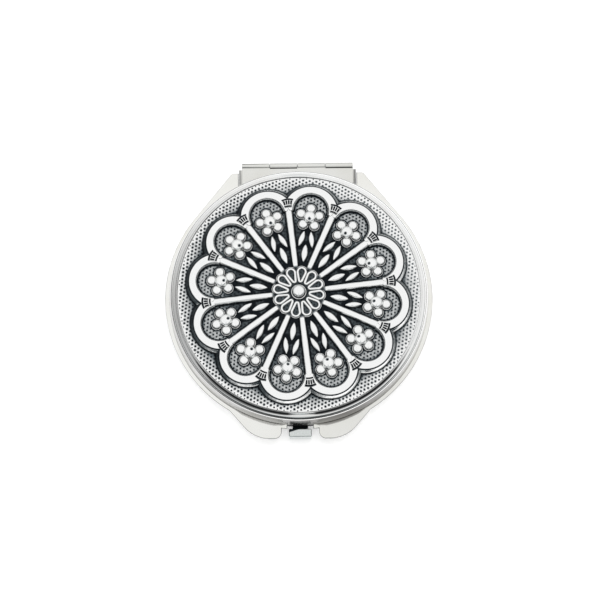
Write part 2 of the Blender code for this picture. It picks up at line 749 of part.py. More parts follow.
def make_hinge_leaf(name, first_knuckle, seat_radius, plate_bottom):
    """Leaf whose knuckles fill every second place along the pin."""
    pitch = 2 * HINGE_HALF_WIDTH / KNUCKLES
    clear_y = HINGE_Y - BARREL_RADIUS - KNUCKLE_GAP
    finger_y = HINGE_Y - BORE_RADIUS / 2
    seat_end = math.acos((HINGE_HALF_WIDTH - KNUCKLE_GAP / 2) / seat_radius)
    outline = arc_on_grid(seat_radius, seat_end, math.pi - seat_end)
    barrels = []
    for i in range(KNUCKLES):
        left = -HINGE_HALF_WIDTH + pitch * i + KNUCKLE_GAP / 2
        right = left + pitch - KNUCKLE_GAP
        own = i % 2 == first_knuckle
        reach = finger_y if own else clear_y
        outer_left = left if own or i == 0 else left - KNUCKLE_GAP
        outer_right = right if own or i == KNUCKLES - 1 else right + KNUCKLE_GAP
        outline += [(outer_left, reach), (outer_right, reach)]
        if own:
            start, end = (left, HINGE_Y, HINGE_Z), (right, HINGE_Y, HINGE_Z)
            barrel = rod(f"{name}_barrel_{i}", BARREL_RADIUS, BARREL_RADIUS, start, end, TUBE_SIDES, CUTTERS)
            barrels.append(barrel)
    leaf = plate(name, [outline], plate_bottom, plate_bottom + LEAF_SHEET)
    for barrel in barrels:
        combine(leaf, barrel, "UNION")
    reach = HINGE_HALF_WIDTH + OVERRUN
    start, end = (-reach, HINGE_Y, HINGE_Z), (reach, HINGE_Y, HINGE_Z)
    bore = rod(f"{name}_bore", BORE_RADIUS, BORE_RADIUS, start, end, TUBE_SIDES, CUTTERS)
    combine(leaf, bore, "DIFFERENCE")
    return leaf


def make_hinge_pin():
    reach = HINGE_HALF_WIDTH - KNUCKLE_GAP / 2
    start, end = (-reach, HINGE_Y, HINGE_Z), (reach, HINGE_Y, HINGE_Z)
    return rod("hinge_pin", PIN_RADIUS, PIN_RADIUS, start, end, TUBE_SIDES, PARTS)


def make_push_button():
    """Block between the lobes; its neck runs through the wall to a hook that holds the catch."""
    button = box(
        "push_button",
        (-BUTTON_HALF_WIDTH, BUTTON_FRONT_Y, NECK_BOTTOM),
        (BUTTON_HALF_WIDTH, BUTTON_REAR_Y, FRAME_TOP - BUTTON_BELOW_FRAME_TOP),
        PARTS,
    )
    bevel(button, BUTTON_EDGE)
    block_middle_y = (BUTTON_FRONT_Y + BUTTON_REAR_Y) / 2
    lift = BUTTON_EDGE
    neck = box(
        "button_neck",
        (-NECK_HALF_WIDTH, block_middle_y, NECK_BOTTOM + lift),
        (NECK_HALF_WIDTH, HOOK_FRONT_Y + HOOK_THICKNESS / 2, NECK_TOP),
        CUTTERS,
    )
    wing_front = -(PAN_INNER_RADIUS - WING_BEHIND_WALL)
    wings = box(
        "button_wings",
        (-WING_HALF_WIDTH, wing_front, NECK_BOTTOM + lift / 2),
        (WING_HALF_WIDTH, wing_front + WING_DEPTH, NECK_TOP - lift / 2),
        CUTTERS,
    )
    nose_top = NOSE_BOTTOM + NOSE_HEIGHT
    hook = box(
        "button_hook",
        (-HOOK_HALF_WIDTH, HOOK_FRONT_Y, NECK_BOTTOM + lift / 2),
        (HOOK_HALF_WIDTH, HOOK_REAR_Y, nose_top),
        CUTTERS,
    )
    nose = box(
        "button_nose",
        (-HOOK_HALF_WIDTH + lift / 2, NOSE_TIP_Y, NOSE_BOTTOM),
        (HOOK_HALF_WIDTH - lift / 2, HOOK_FRONT_Y + HOOK_THICKNESS / 2, nose_top - lift / 2),
        CUTTERS,
    )
    for piece in (neck, wings, hook, nose):
        combine(button, piece, "UNION")
    return button


def make_lid_catch():
    """Plate on the lid's wall whose foot turns in under the button's nose."""
    catch_top = LID_BOTTOM + CATCH_LENGTH_IN_LID
    foot_top = FOOT_BOTTOM + CATCH_FOOT_HEIGHT
    catch = box(
        "lid_catch",
        (-CATCH_HALF_WIDTH, CATCH_FRONT_Y, FOOT_BOTTOM),
        (CATCH_HALF_WIDTH, CATCH_REAR_Y, catch_top),
        PARTS,
    )
    foot = box(
        "catch_foot",
        (-CATCH_HALF_WIDTH, CATCH_FRONT_Y, FOOT_BOTTOM),
        (CATCH_HALF_WIDTH, FOOT_END_Y, foot_top),
        CUTTERS,
    )
    combine(catch, foot, "UNION")
    return catch


def spring_line():
    """Bowed leaf between the posts, its middle against the hook and its ends turned in."""
    middle_y = SPRING_REAR_Y - SPRING_THICKNESS / 2
    leg_x = SPRING_HALF_SPAN + POST_RADIUS + SEAT_GAP + SPRING_THICKNESS / 2
    points = []
    for i in range(SPRING_POINTS):
        share = 2 * i / (SPRING_POINTS - 1) - 1
        points.append((leg_x * share, middle_y + SPRING_BOW * share**2))
    leg_end = (leg_x, middle_y + SPRING_BOW + SPRING_LEG)
    return [(-leg_end[0], leg_end[1])] + points + [leg_end]


def make_return_spring():
    """Thin strip on edge, made thick from an open ribbon."""
    curve = bpy.data.curves.new("return_spring", "CURVE")
    curve.dimensions = "3D"
    curve.extrude = SPRING_HEIGHT / 2
    line = spring_line()
    spline = curve.splines.new("POLY")
    spline.points.add(len(line) - 1)
    for point, (x, y) in zip(spline.points, line):
        point.co = (x, y, 0, 1)
    ribbon = add_object("return_spring", curve, PARTS)
    ribbon.location.z = NECK_TOP - SPRING_HEIGHT / 2
    spring = mesh_from_curve(ribbon, PARTS)
    solidify = spring.modifiers.new("Thickness", "SOLIDIFY")
    solidify.thickness = SPRING_THICKNESS
    solidify.offset = 0
    solidify.use_even_offset = True
    return spring


def make_spring_post(name, x):
    """Post on the pan's floor, behind one end of the spring."""
    post_y = SPRING_REAR_Y + SPRING_BOW + SEAT_GAP + POST_RADIUS
    start, end = (x, post_y, BASE_PAD_BOTTOM), (x, post_y, NECK_TOP)
    return rod(name, POST_RADIUS, POST_RADIUS, start, end, POST_SEGMENTS, PARTS)


def main():
    lid_axis = pivot("lid_hinge_axis", Vector((0, HINGE_Y, HINGE_Z)))
    button_axis = pivot("button_slide_axis", Vector((0, BUTTON_FRONT_Y, (NECK_BOTTOM + NECK_TOP) / 2)))

    finish(make_base_pan(), SILVER, None)
    finish(make_base_frame(), BRIGHT_SILVER, None)
    finish(make_pad("base_pad", BASE_PAD_BOTTOM, BASE_PAD_TOP), FOAM, None)
    base_face = BASE_MIRROR_BOTTOM + MIRROR_THICKNESS
    finish(make_mirror("base_mirror", base_face, BASE_MIRROR_BOTTOM), GLASS, None)
    finish(make_base_bezel(), SILVER, None)
    base_plate_bottom = HINGE_Z - BARREL_RADIUS + LEAF_STEP
    base_leaf = make_hinge_leaf("base_hinge_leaf", 1, PAN_RADIUS + SEAT_GAP, base_plate_bottom)
    finish(base_leaf, SILVER, None)
    finish(make_hinge_pin(), STEEL, None)
    finish(make_return_spring(), STEEL, None)
    finish(make_spring_post("spring_post_left", -SPRING_HALF_SPAN), STEEL, None)
    finish(make_spring_post("spring_post_right", SPRING_HALF_SPAN), STEEL, None)

    finish(make_push_button(), SILVER, button_axis)

    finish(make_lid_shell(), SILVER, lid_axis)
    finish(make_rim_ring(), BRIGHT_SILVER, lid_axis)
    finish(make_backing(), FILLER, lid_axis)
    finish(make_medallion(), OXIDISED_SILVER, lid_axis)
    finish(make_pad("lid_pad", LID_PAD_BOTTOM, LID_PAD_BOTTOM + LID_PAD_THICKNESS), FOAM, lid_axis)
    lid_back = LID_MIRROR_BOTTOM + MIRROR_THICKNESS
    finish(make_mirror("lid_mirror", LID_MIRROR_BOTTOM, lid_back), GLASS, lid_axis)
    finish(make_lid_bezel(), SILVER, lid_axis)
    lid_plate_bottom = HINGE_Z + BARREL_RADIUS - LEAF_STEP - LEAF_SHEET
    lid_leaf = make_hinge_leaf("lid_hinge_leaf", 0, LID_RADIUS + SEAT_GAP, lid_plate_bottom)
    finish(lid_leaf, SILVER, lid_axis)
    finish(make_lid_catch(), SILVER, lid_axis)


if __name__ == "__main__":
    main()
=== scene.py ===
"""Scene of a round pocket mirror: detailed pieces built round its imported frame.

Laid out as a Blender add-on and run as a script. Each operator builds one group of pieces.
Metres, +Z up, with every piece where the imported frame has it.
"""

import json
import math

import bmesh
import bpy
import numpy as np
from mathutils import Matrix, Vector


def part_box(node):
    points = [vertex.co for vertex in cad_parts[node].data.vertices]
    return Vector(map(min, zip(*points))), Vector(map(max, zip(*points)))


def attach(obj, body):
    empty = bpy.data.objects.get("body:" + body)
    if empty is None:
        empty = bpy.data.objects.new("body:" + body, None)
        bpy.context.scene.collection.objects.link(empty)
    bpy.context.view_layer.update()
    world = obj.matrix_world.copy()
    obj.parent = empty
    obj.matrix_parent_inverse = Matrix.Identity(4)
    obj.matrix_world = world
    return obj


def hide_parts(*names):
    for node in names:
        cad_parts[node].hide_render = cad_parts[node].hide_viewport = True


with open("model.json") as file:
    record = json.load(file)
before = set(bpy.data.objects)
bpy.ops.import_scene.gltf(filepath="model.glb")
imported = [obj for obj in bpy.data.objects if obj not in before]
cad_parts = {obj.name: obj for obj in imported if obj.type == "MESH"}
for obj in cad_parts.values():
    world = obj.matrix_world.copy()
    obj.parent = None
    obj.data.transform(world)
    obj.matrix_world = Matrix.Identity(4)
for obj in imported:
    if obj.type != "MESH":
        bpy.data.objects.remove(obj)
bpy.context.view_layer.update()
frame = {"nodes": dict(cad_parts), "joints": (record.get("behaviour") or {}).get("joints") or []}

bl_info = {
    "name": "Round pocket mirror",
    "version": (1, 0, 0),
    "blender": (4, 5, 0),
    "location": "View3D > Sidebar > Pocket mirror",
    "description": "Builds the detailed pieces of a lidded pocket mirror round its packed frame",
    "category": "Add Mesh",
}


def low(node):
    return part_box(node)[0]


def high(node):
    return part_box(node)[1]


# Points closer together than this are merged
WELD = 0.000002
# Height of the relief's underside, just below the ground
FOOT = -0.0001
# Rise over which the oxide of petals and beads fades
BEAD_FADE = (0.0001, 0.0003)
# Powers that make a bead's reach fuller, and its top flatter, than a ball's
BEAD_FULLNESS, BEAD_FLATNESS = 0.86, 0.9
# Height of the button's neck, where it goes through the pan
NECK_HEIGHT = 0.0011

# The hinge
HINGE_PLACE = Vector(next(j for j in frame["joints"] if j["name"] == "lid_hinge")["pos_m"])
KNUCKLES = 4
KNUCKLE_GAP = 0.0001
BARREL, BORE = 0.0008, 0.0005
LEAF_SHEET, LEAF_EDGE = 0.0005, 0.00006
HALF_HINGE = high("base_hinge_leaf").x + KNUCKLE_GAP / 2
KNUCKLE_PITCH = 2 * HALF_HINGE / KNUCKLES

# How far the lid's wall leans in, at each drop below its top
LEANING_WALL = ((0.00048, 0.00025), (0.0003, 0.0008), (0.00014, 0.0016), (0.00004, 0.0026))

# Ring round the medallion: share of its width, share of its height
RIM_PROFILE = (
    (0.0, 0.0), (0.0, 0.6), (0.015, 0.84), (0.06, 0.97), (0.13, 1.0), (0.19, 0.96), (0.27, 0.8), (0.34, 0.68),
    (0.38, 0.66), (0.46, 0.73), (0.56, 0.78), (0.66, 0.76), (0.73, 0.7), (0.84, 0.52), (0.93, 0.34),
    (0.98, 0.16), (1.0, 0.0),
)

# Arch: share from its outer to its inner foot, rise in millimetres, oxide
ARCH_PROFILE = (
    (0, -0.1, 1), (0.01, 0.05, 1), (0.03, 0.16, 1), (0.08, 0.4, 0.95), (0.15, 0.66, 0.97), (0.22, 0.93, 0.97),
    (0.265, 1.1, 1), (0.31, 1.21, 1), (0.345, 1.25, 0.3), (0.38, 1.27, 0), (0.46, 1.3, 0), (0.62, 1.31, 0),
    (0.76, 1.3, 0), (0.84, 1.27, 0), (0.88, 1.2, 0), (0.905, 1.08, 0.5), (0.915, 0.98, 1), (0.925, 0.94, 1),
    (0.935, 0.95, 0.1), (0.95, 0.9, 0), (0.965, 0.78, 0), (0.98, 0.55, 0.3), (0.99, 0.3, 1), (0.995, 0.05, 1),
    (1.0, -0.1, 1),
)

# Half of a column: share of its half width, share of its rise or less than 0 for its foot, oxide
COLUMN_PROFILE = (
    (1.24, -1, 1), (1.24, 0.1, 1), (1.14, 0.26, 0.7), (1.1, 0.34, 0.75), (1.02, 0.42, 0.3), (0.92, 0.66, 0.02),
    (0.78, 0.84, 0), (0.5, 0.95, 0), (0.25, 0.99, 0), (0, 1.0, 0),
)

# Cup under a flower's bead: reach and height in millimetres, oxide
CUP_PROFILE = (
    (1.48, 0.42, 1), (1.56, 0.46, 0.9), (1.59, 0.54, 0.1), (1.63, 0.57, 0), (1.69, 0.54, 0), (1.73, 0.42, 0.2),
    (1.75, 0.2, 0.9), (1.75, -0.1, 1),
)

# Leaves of a bay: start, end, half width
LEAVES = (
    ((0.0081, 0), (0.013, 0), 0.00104),
    ((0.0122, -0.00178), (0.0167, -0.00082), 0.0009),
    ((0.0122, 0.00178), (0.0167, 0.00082), 0.0009),
)

# Brightness that polished metal reflects, by the height of a direction: all round, and in front
SKY_AROUND = (
    (0.0, (0.12, 0.13, 0.13)), (0.06, (0.25, 0.27, 0.27)), (0.15, (0.68, 0.7, 0.7)),
    (0.3, (0.86, 0.87, 0.87)), (0.6, (0.97, 0.97, 0.97)), (0.87, (1, 1, 1)),
)
SKY_IN_FRONT = (
    (0.0, (0.015, 0.025, 0.03)), (0.22, (0.02, 0.035, 0.04)), (0.32, (0.4, 0.43, 0.43)),
    (0.46, (0.85, 0.86, 0.86)), (0.7, (0.98, 0.98, 0.98)), (0.87, (1, 1, 1)),
)

# Look of each node that keeps its plain shape
CARRIED_LOOKS = {
    "glass": ("base_mirror", "lid_mirror"),
    "foam": ("base_pad", "lid_pad"),
    "filler": ("medallion_backing",),
    "steel": ("hinge_pin", "return_spring", "spring_post_left", "spring_post_right"),
    "satin": ("lid_catch",),
    "button": ("push_button",),
}


def length(name, description, default):
    """A size in metres, for a property group."""
    return bpy.props.FloatProperty(
        name=name, description=description, default=default, unit="LENGTH", subtype="DISTANCE", precision=5
    )


def amount(name, description, default):
    """A share or a factor, for a property group."""
    return bpy.props.FloatProperty(name=name, description=description, default=default, precision=4)


def angle(name, description, degrees):
    return bpy.props.FloatProperty(
        name=name, description=description, default=math.radians(degrees), subtype="ANGLE"
    )


def number(name, description, default):
    return bpy.props.IntProperty(name=name, description=description, default=default, min=1)


def colour(name, description, default):
    return bpy.props.FloatVectorProperty(
        name=name, description=description, default=default, subtype="COLOR", size=3, min=0, max=1
    )


class CaseSizes(bpy.types.PropertyGroup):
    """Sizes of the lid, the base and their edges."""

    turn_steps: number("Turn steps", "Steps round a turned piece", 192)
    sheet: length("Sheet", "Thickness of the drawn sheet", 0.0008)
    lid_sheet: length("Lid sheet", "Thickness of the lid's floor", 0.0007)
    rim_width: length("Rim width", "Width of the ring round the medallion", 0.00165)
    pan_round: length("Pan edge round", "Radius of the pan's lower edge", 0.0023)
    frame_flange: length("Frame flange", "How far the frame reaches past the pan", 0.0012)
    frame_edge: length("Frame edge", "Radius of the frame's stamped edges", 0.00026)
    shoulder_width: length("Shoulder width", "Width of a rear shoulder's flat end", 0.00179)
    lobe_width: length("Lobe width", "Width of a front lobe", 0.00693)
    lobe_flank: length("Lobe flank", "Spread of a front lobe towards the circle", 0.00647)
    lobe_round: length("Lobe round", "Radius of a front lobe's outer corner", 0.009)
    lobe_inner_round: length("Lobe inner round", "Radius of a front lobe's inner corner", 0.0019)
    lobe_gap: length("Lobe gap", "Gap between a front lobe and the button", 0.00162)
    slide_gap: length("Slide gap", "Running gap round the button", 0.00015)
    seat_gap: length("Seat gap", "Gap between fixed pieces", 0.0001)
    bezel_sheet: length("Bezel sheet", "Thickness of the mirrors' bezels", 0.0004)
    bezel_inner: length("Bezel opening", "Radius of the bezels' opening", 0.027725)


class MedallionSizes(bpy.types.PropertyGroup):
    """Sizes of the medallion's ground and relief."""

    bays: number("Bays", "Bays round the medallion", 12)
    turn: angle("Pattern turn", "Turn of the first bay", 21.3)
    crown: length("Crown", "Rise of the plaque's dome", 0.0014)
    edge: length("Edge", "Height of the plaque's edge above its underside", 0.0006)
    pit_pitch: length("Pit pitch", "Distance between the pits of a line", 0.00097)
    pit_lines: length("Pit lines", "Distance between neighbouring lines of pits", 0.00087)
    pit_turn: angle("Pit turn", "Turn of the lines of pits", -6.0)
    pit_radius: length("Pit radius", "Radius of a pit's mouth", 0.0003)
    pit_floor: length("Pit floor", "Radius of a pit's floor", 0.0002)
    pit_depth: length("Pit depth", "Depth of one pit", 0.00014)
    arch_outer: length("Arch outer", "Outer foot of an arch on its axis", 0.02965)
    arch_inner: length("Arch inner", "Inner foot of an arch on its axis", 0.02658)
    arch_outer_centre: length("Arch outer centre", "Centre of an arch's outer curve", 0.0213)
    arch_inner_centre: length("Arch inner centre", "Centre of an arch's inner curve", 0.0222)
    column_foot: length("Column foot", "Where a column starts", 0.0064)
    column_head: length("Column head", "Where a column ends", 0.023)
    capital_foot: length("Capital foot", "Where a capital starts", 0.0227)
    capital_head: length("Capital head", "Where a capital ends", 0.025)
    flower_place: length("Flower place", "Distance of a flower from the middle", 0.0203)
    petal_offset: length("Petal offset", "Distance of a petal from its flower's middle", 0.00252)
    loop_inner: length("Loop inner", "Middle of a rosette loop's narrow end", 0.00315)
    loop_outer: length("Loop outer", "Middle of a rosette loop's wide end", 0.00545)
    loop_narrow: length("Loop narrow", "Radius of a rosette loop's narrow end", 0.00037)
    loop_wide: length("Loop wide", "Radius of a rosette loop's wide end", 0.00105)
    loop_wire: length("Loop wire", "Half width of a rosette loop's wire", 0.00034)


class FinishColours(bpy.types.PropertyGroup):
    """Colours of the finishes."""

    silver: colour("Silver", "Polished metal", (0.9, 0.905, 0.9))
    warm_silver: colour("Warm silver", "Polished metal where it has aged a little", (0.86, 0.855, 0.84))
    plate: colour("Plate", "Plated frame and hinge", (0.87, 0.87, 0.84))
    warm_plate: colour("Warm plate", "Plate where it has aged a little", (0.82, 0.815, 0.77))
    button: colour("Button", "Worn silver of the push button", (0.66, 0.69, 0.68))
    oxide: colour("Oxide", "Dark patina in the recesses", (0.012, 0.015, 0.018))
    oxide_worn: colour("Worn oxide", "Patina where it is half rubbed off", (0.11, 0.13, 0.14))
    steel: colour("Steel", "Spring, posts and pin", (0.6, 0.6, 0.61))
    glass: colour("Mirror", "Silvered glass", (0.9, 0.93, 0.93))
    foam: colour("Foam", "Glue pads", (0.82, 0.81, 0.78))
    filler: colour("Filler", "Filler under the medallion", (0.3, 0.29, 0.27))


class StageSettings(bpy.types.PropertyGroup):
    """Camera, light and floor."""

    elevation: angle("Elevation", "Camera's height above the horizon", 75.7)
    roll: angle("Roll", "Camera's turn about its own axis", 0.65)
    distance: length("Distance", "Distance from the camera to the case", 0.6)
    aim_height: length("Aim height", "Height of the point that the camera aims at", 0.0043)
    aside: length("Aside", "Step of the aim to the picture's right", 0.00029)
    down: length("Down", "Step of the aim to the picture's bottom", 0.000445)
    view_width: length("View width", "Width of the view at that distance", 0.15672)
    world_light: amount("World light", "Strength of the sky on matt surfaces", 0.75)
    lamp_power: amount("Lamp power", "Power of the overhead soft lamp in watts", 1.2)
    floor_light: amount("Floor light", "Light added to the floor where the camera or metal sees it", 0.35)


class NodeMaker:
    """Short ways to add nodes to a tree, and to feed them with values or other nodes' sockets."""

    def __init__(self, tree):
        self.nodes, self.links = tree.nodes, tree.links

    def feed(self, socket, value):
        if isinstance(value, bpy.types.NodeSocket):
            self.links.new(value, socket)
        elif socket.type == "RGBA":
            socket.default_value = (*value, 1)
        else:
            socket.default_value = value

    def node(self, kind, inputs=None, **settings):
        made = self.nodes.new(kind)
        for key, value in settings.items():
            setattr(made, key, value)
        for key, value in (inputs or {}).items():
            self.feed(made.inputs[key], value)
        return made

    def first(self, kind, inputs=None, **settings):
        """The first output of a new node."""
        return self.node(kind, inputs, **settings).outputs[0]

    def math(self, operation, *values):
        return self.first("ShaderNodeMath", dict(enumerate(values)), operation=operation)

    def parts(self, vector):
        """X, Y and Z of a vector."""
        return self.node("ShaderNodeSeparateXYZ", {0: vector}).outputs

    def spread(self, value, from_low, from_high, to_low=0.0, to_high=1.0):
        """Maps a value from one range to another, clamped."""
        ranges = {"From Min": from_low, "From Max": from_high, "To Min": to_low, "To Max": to_high}
        return self.first("ShaderNodeMapRange", {"Value": value, **ranges})

    def blend(self, share, first, second):
        """Mixes two colours, each a triple or a socket."""
        node = self.node("ShaderNodeMix", {"Factor": share}, data_type="RGBA")
        for socket in node.inputs:
            if socket.type == "RGBA":
                self.feed(socket, first if socket.name == "A" else second)
        return next(socket for socket in node.outputs if socket.type == "RGBA")


class Surface(NodeMaker):
    """A material in the making, with its Principled shader."""

    def __init__(self, name, metallic=1.0):
        self.material = bpy.data.materials.new(name)
        self.material.use_nodes = True
        super().__init__(self.material.node_tree)
        self.shader = self.nodes["Principled BSDF"]
        self.shader.inputs["Metallic"].default_value = metallic

    def place(self):
        return self.node("ShaderNodeTexCoord").outputs["Object"]

    # The oxide attribute: patina on the medallion, lightened in places by painted highlight, and painted shade and
    # reflection on the case's pieces.
    def oxide(self):
        return self.node("ShaderNodeAttribute", attribute_name="oxide").outputs["Fac"]

    def noise(self, scale, detail, stretch=(1, 1, 1)):
        """Noise on Object coordinates, in features per metre."""
        place = self.first("ShaderNodeMapping", {"Vector": self.place(), "Scale": stretch})
        inputs = {"Vector": place, "Scale": scale, "Detail": detail}
        return self.node("ShaderNodeTexNoise", inputs).outputs["Fac"]

    def bump(self, height, strength, distance):
        inputs = {"Height": height, "Strength": strength, "Distance": distance}
        self.links.new(self.first("ShaderNodeBump", inputs), self.shader.inputs["Normal"])

    def shade(self, inputs):
        """Feeds the shader's sockets and gives the finished material."""
        for key, value in inputs.items():
            self.feed(self.shader.inputs[key], value)
        return self.material


def polished_metal(name, base, aged, roughness, brushing=(1, 1, 1), tarnish_and_shade=(0.03, 0.032, 0.033)):
    """Bright metal with faint cloudy ageing, fine polishing marks, and a dark colour from the oxide attribute:
    patina, and on the case's pieces painted shade and reflection.
    """
    make = Surface(name)
    clouds = make.spread(make.noise(90, 4.0), 0.45, 0.75)
    marks = make.noise(2600, 2.0, brushing)
    smoothest, roughest, darkened_roughness = roughness * 0.75, roughness * 1.35, 0.3
    oxide = make.spread(make.oxide(), 0.0, 1.0)
    rough = make.spread(marks, 0.3, 0.7, smoothest, roughest)
    make.bump(marks, 0.06, 0.00001)
    return make.shade({
        "Base Color": make.blend(oxide, make.blend(clouds, base, aged), tarnish_and_shade),
        "Roughness": make.math("ADD", rough, make.math("MULTIPLY", oxide, darkened_roughness)),
    })


def patinated_silver(name, colours):
    """Silver whose recesses, marked by the oxide attribute, keep a dark patina."""
    make = Surface(name)
    mottle = make.noise(1500, 4.0)
    level = make.math("ADD", make.oxide(), make.spread(mottle, 0.3, 0.7, -0.09, 0.09))
    worn, full = make.spread(level, 0.12, 0.5), make.spread(level, 0.5, 0.92)
    half = make.blend(worn, colours.silver, colours.oxide_worn)
    make.bump(mottle, 0.12, 0.00002)
    return make.shade({
        "Base Color": make.blend(full, half, colours.oxide),
        "Roughness": make.spread(level, 0.1, 0.8, 0.13, 0.5),
    })


def button_with_painted_shadow(name, colours):
    """Satin silver with a painted shadow: black where the button goes into the case, past a slanted line."""
    make = Surface(name)
    parts = make.parts(make.place())
    # Painted shadow: near-black past this slanted line, where the lid's edge and the recess shade the button.
    slope, black_from, black_to = -0.3, -0.03482, -0.0347
    slant = make.math("MULTIPLY_ADD", parts["X"], slope, parts["Y"])
    grain = make.noise(2400, 3.0)
    face = make.blend(make.spread(grain, 0.3, 0.7), colours.button, tuple(c * 0.92 for c in colours.button))
    make.bump(grain, 0.06, 0.00001)
    return make.shade({
        "Base Color": make.blend(make.spread(slant, black_from, black_to), face, (0.012, 0.016, 0.018)),
        "Roughness": make.spread(grain, 0.3, 0.7, 0.16, 0.26),
    })


def plain_surface(name, base, roughness, scale):
    """A matt surface with a faint mottle."""
    make = Surface(name, metallic=0.0)
    grain = make.noise(scale, 3.0)
    make.bump(grain, 0.15, 0.00003)
    darker = tuple(c * 0.88 for c in base)
    mottled = make.blend(make.spread(grain, 0.35, 0.65), base, darker)
    return make.shade({"Base Color": mottled, "Roughness": roughness})


def silvered_glass(name, base):
    """Mirror glass: a bright, even reflection under a clear coat."""
    make = Surface(name)
    haze = make.spread(make.noise(60, 2.0), 0.3, 0.7, 0.008, 0.02)
    return make.shade({"Base Color": base, "Roughness": haze, "Coat Weight": 0.4})


FINISHES = {}


def finish_named(name):
    """The finishes are made once and shared by name."""
    if not FINISHES:
        colours = bpy.context.scene.mirror_colours
        silver, warm, steel = colours.silver, colours.warm_silver, colours.steel
        FINISHES.update(
            polished=polished_metal("polished_silver", silver, warm, 0.06),
            # The shell's dark colour from the oxide attribute is the colour of its painted shade.
            shell=polished_metal("shell_silver", silver, warm, 0.07, tarnish_and_shade=(0.07, 0.06, 0.055)),
            button=button_with_painted_shadow("button_silver", colours),
            plated=polished_metal("plated_silver", colours.plate, colours.warm_plate, 0.08),
            satin=polished_metal("satin_silver", silver, warm, 0.2),
            patina=patinated_silver("patinated_silver", colours),
            steel=polished_metal("spring_steel", steel, steel, 0.28, brushing=(1, 1, 12)),
            glass=silvered_glass("silvered_glass", colours.glass),
            foam=plain_surface("foam", colours.foam, 0.85, 1800),
            filler=plain_surface("filler", colours.filler, 0.7, 900),
        )
    return FINISHES[name]


def new_object(name, mesh):
    made = bpy.data.objects.new(name, mesh)
    bpy.context.scene.collection.objects.link(made)
    return made


def raw_object(name, points, faces):
    """An object whose points keep their order."""
    mesh = bpy.data.meshes.new(name)
    mesh.from_pydata(points, [], faces)
    return new_object(name, mesh)


def mesh_object(name, points, faces):
    """An object with its doubles merged and its faces turned outwards."""
    made = raw_object(name, points, faces)
    face_out(made.data)
    return made


def bmesh_object(name, bm):
    """An object from a bmesh, which is freed."""
    mesh = bpy.data.meshes.new(name)
    bm.to_mesh(mesh)
    bm.free()
    return new_object(name, mesh)


def face_out(mesh):
    bm = bmesh.new()
    bm.from_mesh(mesh)
    bmesh.ops.remove_doubles(bm, verts=bm.verts, dist=WELD)
    bmesh.ops.recalc_face_normals(bm, faces=bm.faces)
    bm.to_mesh(mesh)
    bm.free()


def to_plain_mesh(piece):
    """Replaces an object's mesh by its evaluated one, and removes its modifiers."""
    bpy.context.view_layer.update()
    evaluated = piece.evaluated_get(bpy.context.evaluated_depsgraph_get())
    mesh = bpy.data.meshes.new_from_object(evaluated)
    piece.modifiers.clear()
    piece.data = mesh
    mesh.name = piece.name


def finish_piece(piece, finish, body, node, sharp=30):
    """Material, shading and body of a piece, and hides the node that it stands for."""
    piece.data.materials.clear()
    piece.data.materials.append(finish_named(finish))
    piece.data.shade_smooth()
    piece.data.set_sharp_from_angle(angle=math.radians(sharp))
    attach(piece, body)
    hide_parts(node)


def vertex_rows(mesh, field):
    """Places or normals of a mesh's points, a row each."""
    values = np.zeros(len(mesh.vertices) * 3, np.float32)
    mesh.vertices.foreach_get(field, values)
    return values.reshape(-1, 3)


def set_oxide(mesh, values):
    attribute = mesh.attributes.new("oxide", "FLOAT", "POINT")
    attribute.data.foreach_set("value", np.asarray(values, np.float32))


def paint_oxide_and_shade(piece, rule):
    """Gives a piece its oxide, by a rule of each point's place and reach. On the case's pieces the rule paints shade
    and reflection.
    """
    x, y, z = vertex_rows(piece.data, "co").T
    set_oxide(piece.data, np.clip(rule(x, y, z, np.hypot(x, y)), 0, 1))


def towards(x, y, degrees):
    """How far a place lies in a direction from the middle, from 0 to 1."""
    return 0.5 + 0.5 * np.cos(np.arctan2(y, x) - math.radians(degrees))


def bell(value, middle, width, power=2):
    """1 at the middle, falling to 0 past the width, with a flatter top at a higher power."""
    return np.exp(-(((value - middle) / width) ** power))


def lighten_slopes_facing(piece, degrees, share):
    """Paints highlight: lightens the oxide of slopes that face a direction, as if light fell on them. Sharp corners
    keep their full oxide.
    """
    steepness, full = 0.2, 0.985
    x, y, _ = vertex_rows(piece.data, "normal").T
    values = np.zeros(len(x), np.float32)
    attribute = piece.data.attributes["oxide"].data
    attribute.foreach_get("value", values)
    rubbed = values * (1 - share * towards(x, y, degrees) ** 2 * (np.hypot(x, y) > steepness))
    attribute.foreach_set("value", np.where(values > full, values, rubbed))


def rounded_line(points, steps=5):
    """A smooth line through points, by Catmull and Rom's rule."""
    padded = [points[0], *points, points[-1]]
    line = []
    for i in range(1, len(padded) - 2):
        a, b, c, d = (np.array(p, float) for p in padded[i - 1 : i + 3])
        for j in range(steps):
            t = j / steps
            curve = (2 * a - 5 * b + 4 * c - d) * t**2 + (3 * b - a - 3 * c + d) * t**3
            line.append(tuple(0.5 * (2 * b + (c - a) * t + curve)))
    line.append(tuple(points[-1]))
    return line


def arc(centre, radius, start, end, steps):
    """Points along an arc, both ends included."""
    turns = [start + (end - start) * i / steps for i in range(steps + 1)]
    return [(centre[0] + radius * math.cos(a), centre[1] + radius * math.sin(a)) for a in turns]


def circle(count, radius, z=0.0, centre=(0, 0)):
    """Points round a circle, at one height."""
    return [(x, y, z) for x, y in arc(centre, radius, 0, math.tau, count)[:-1]]


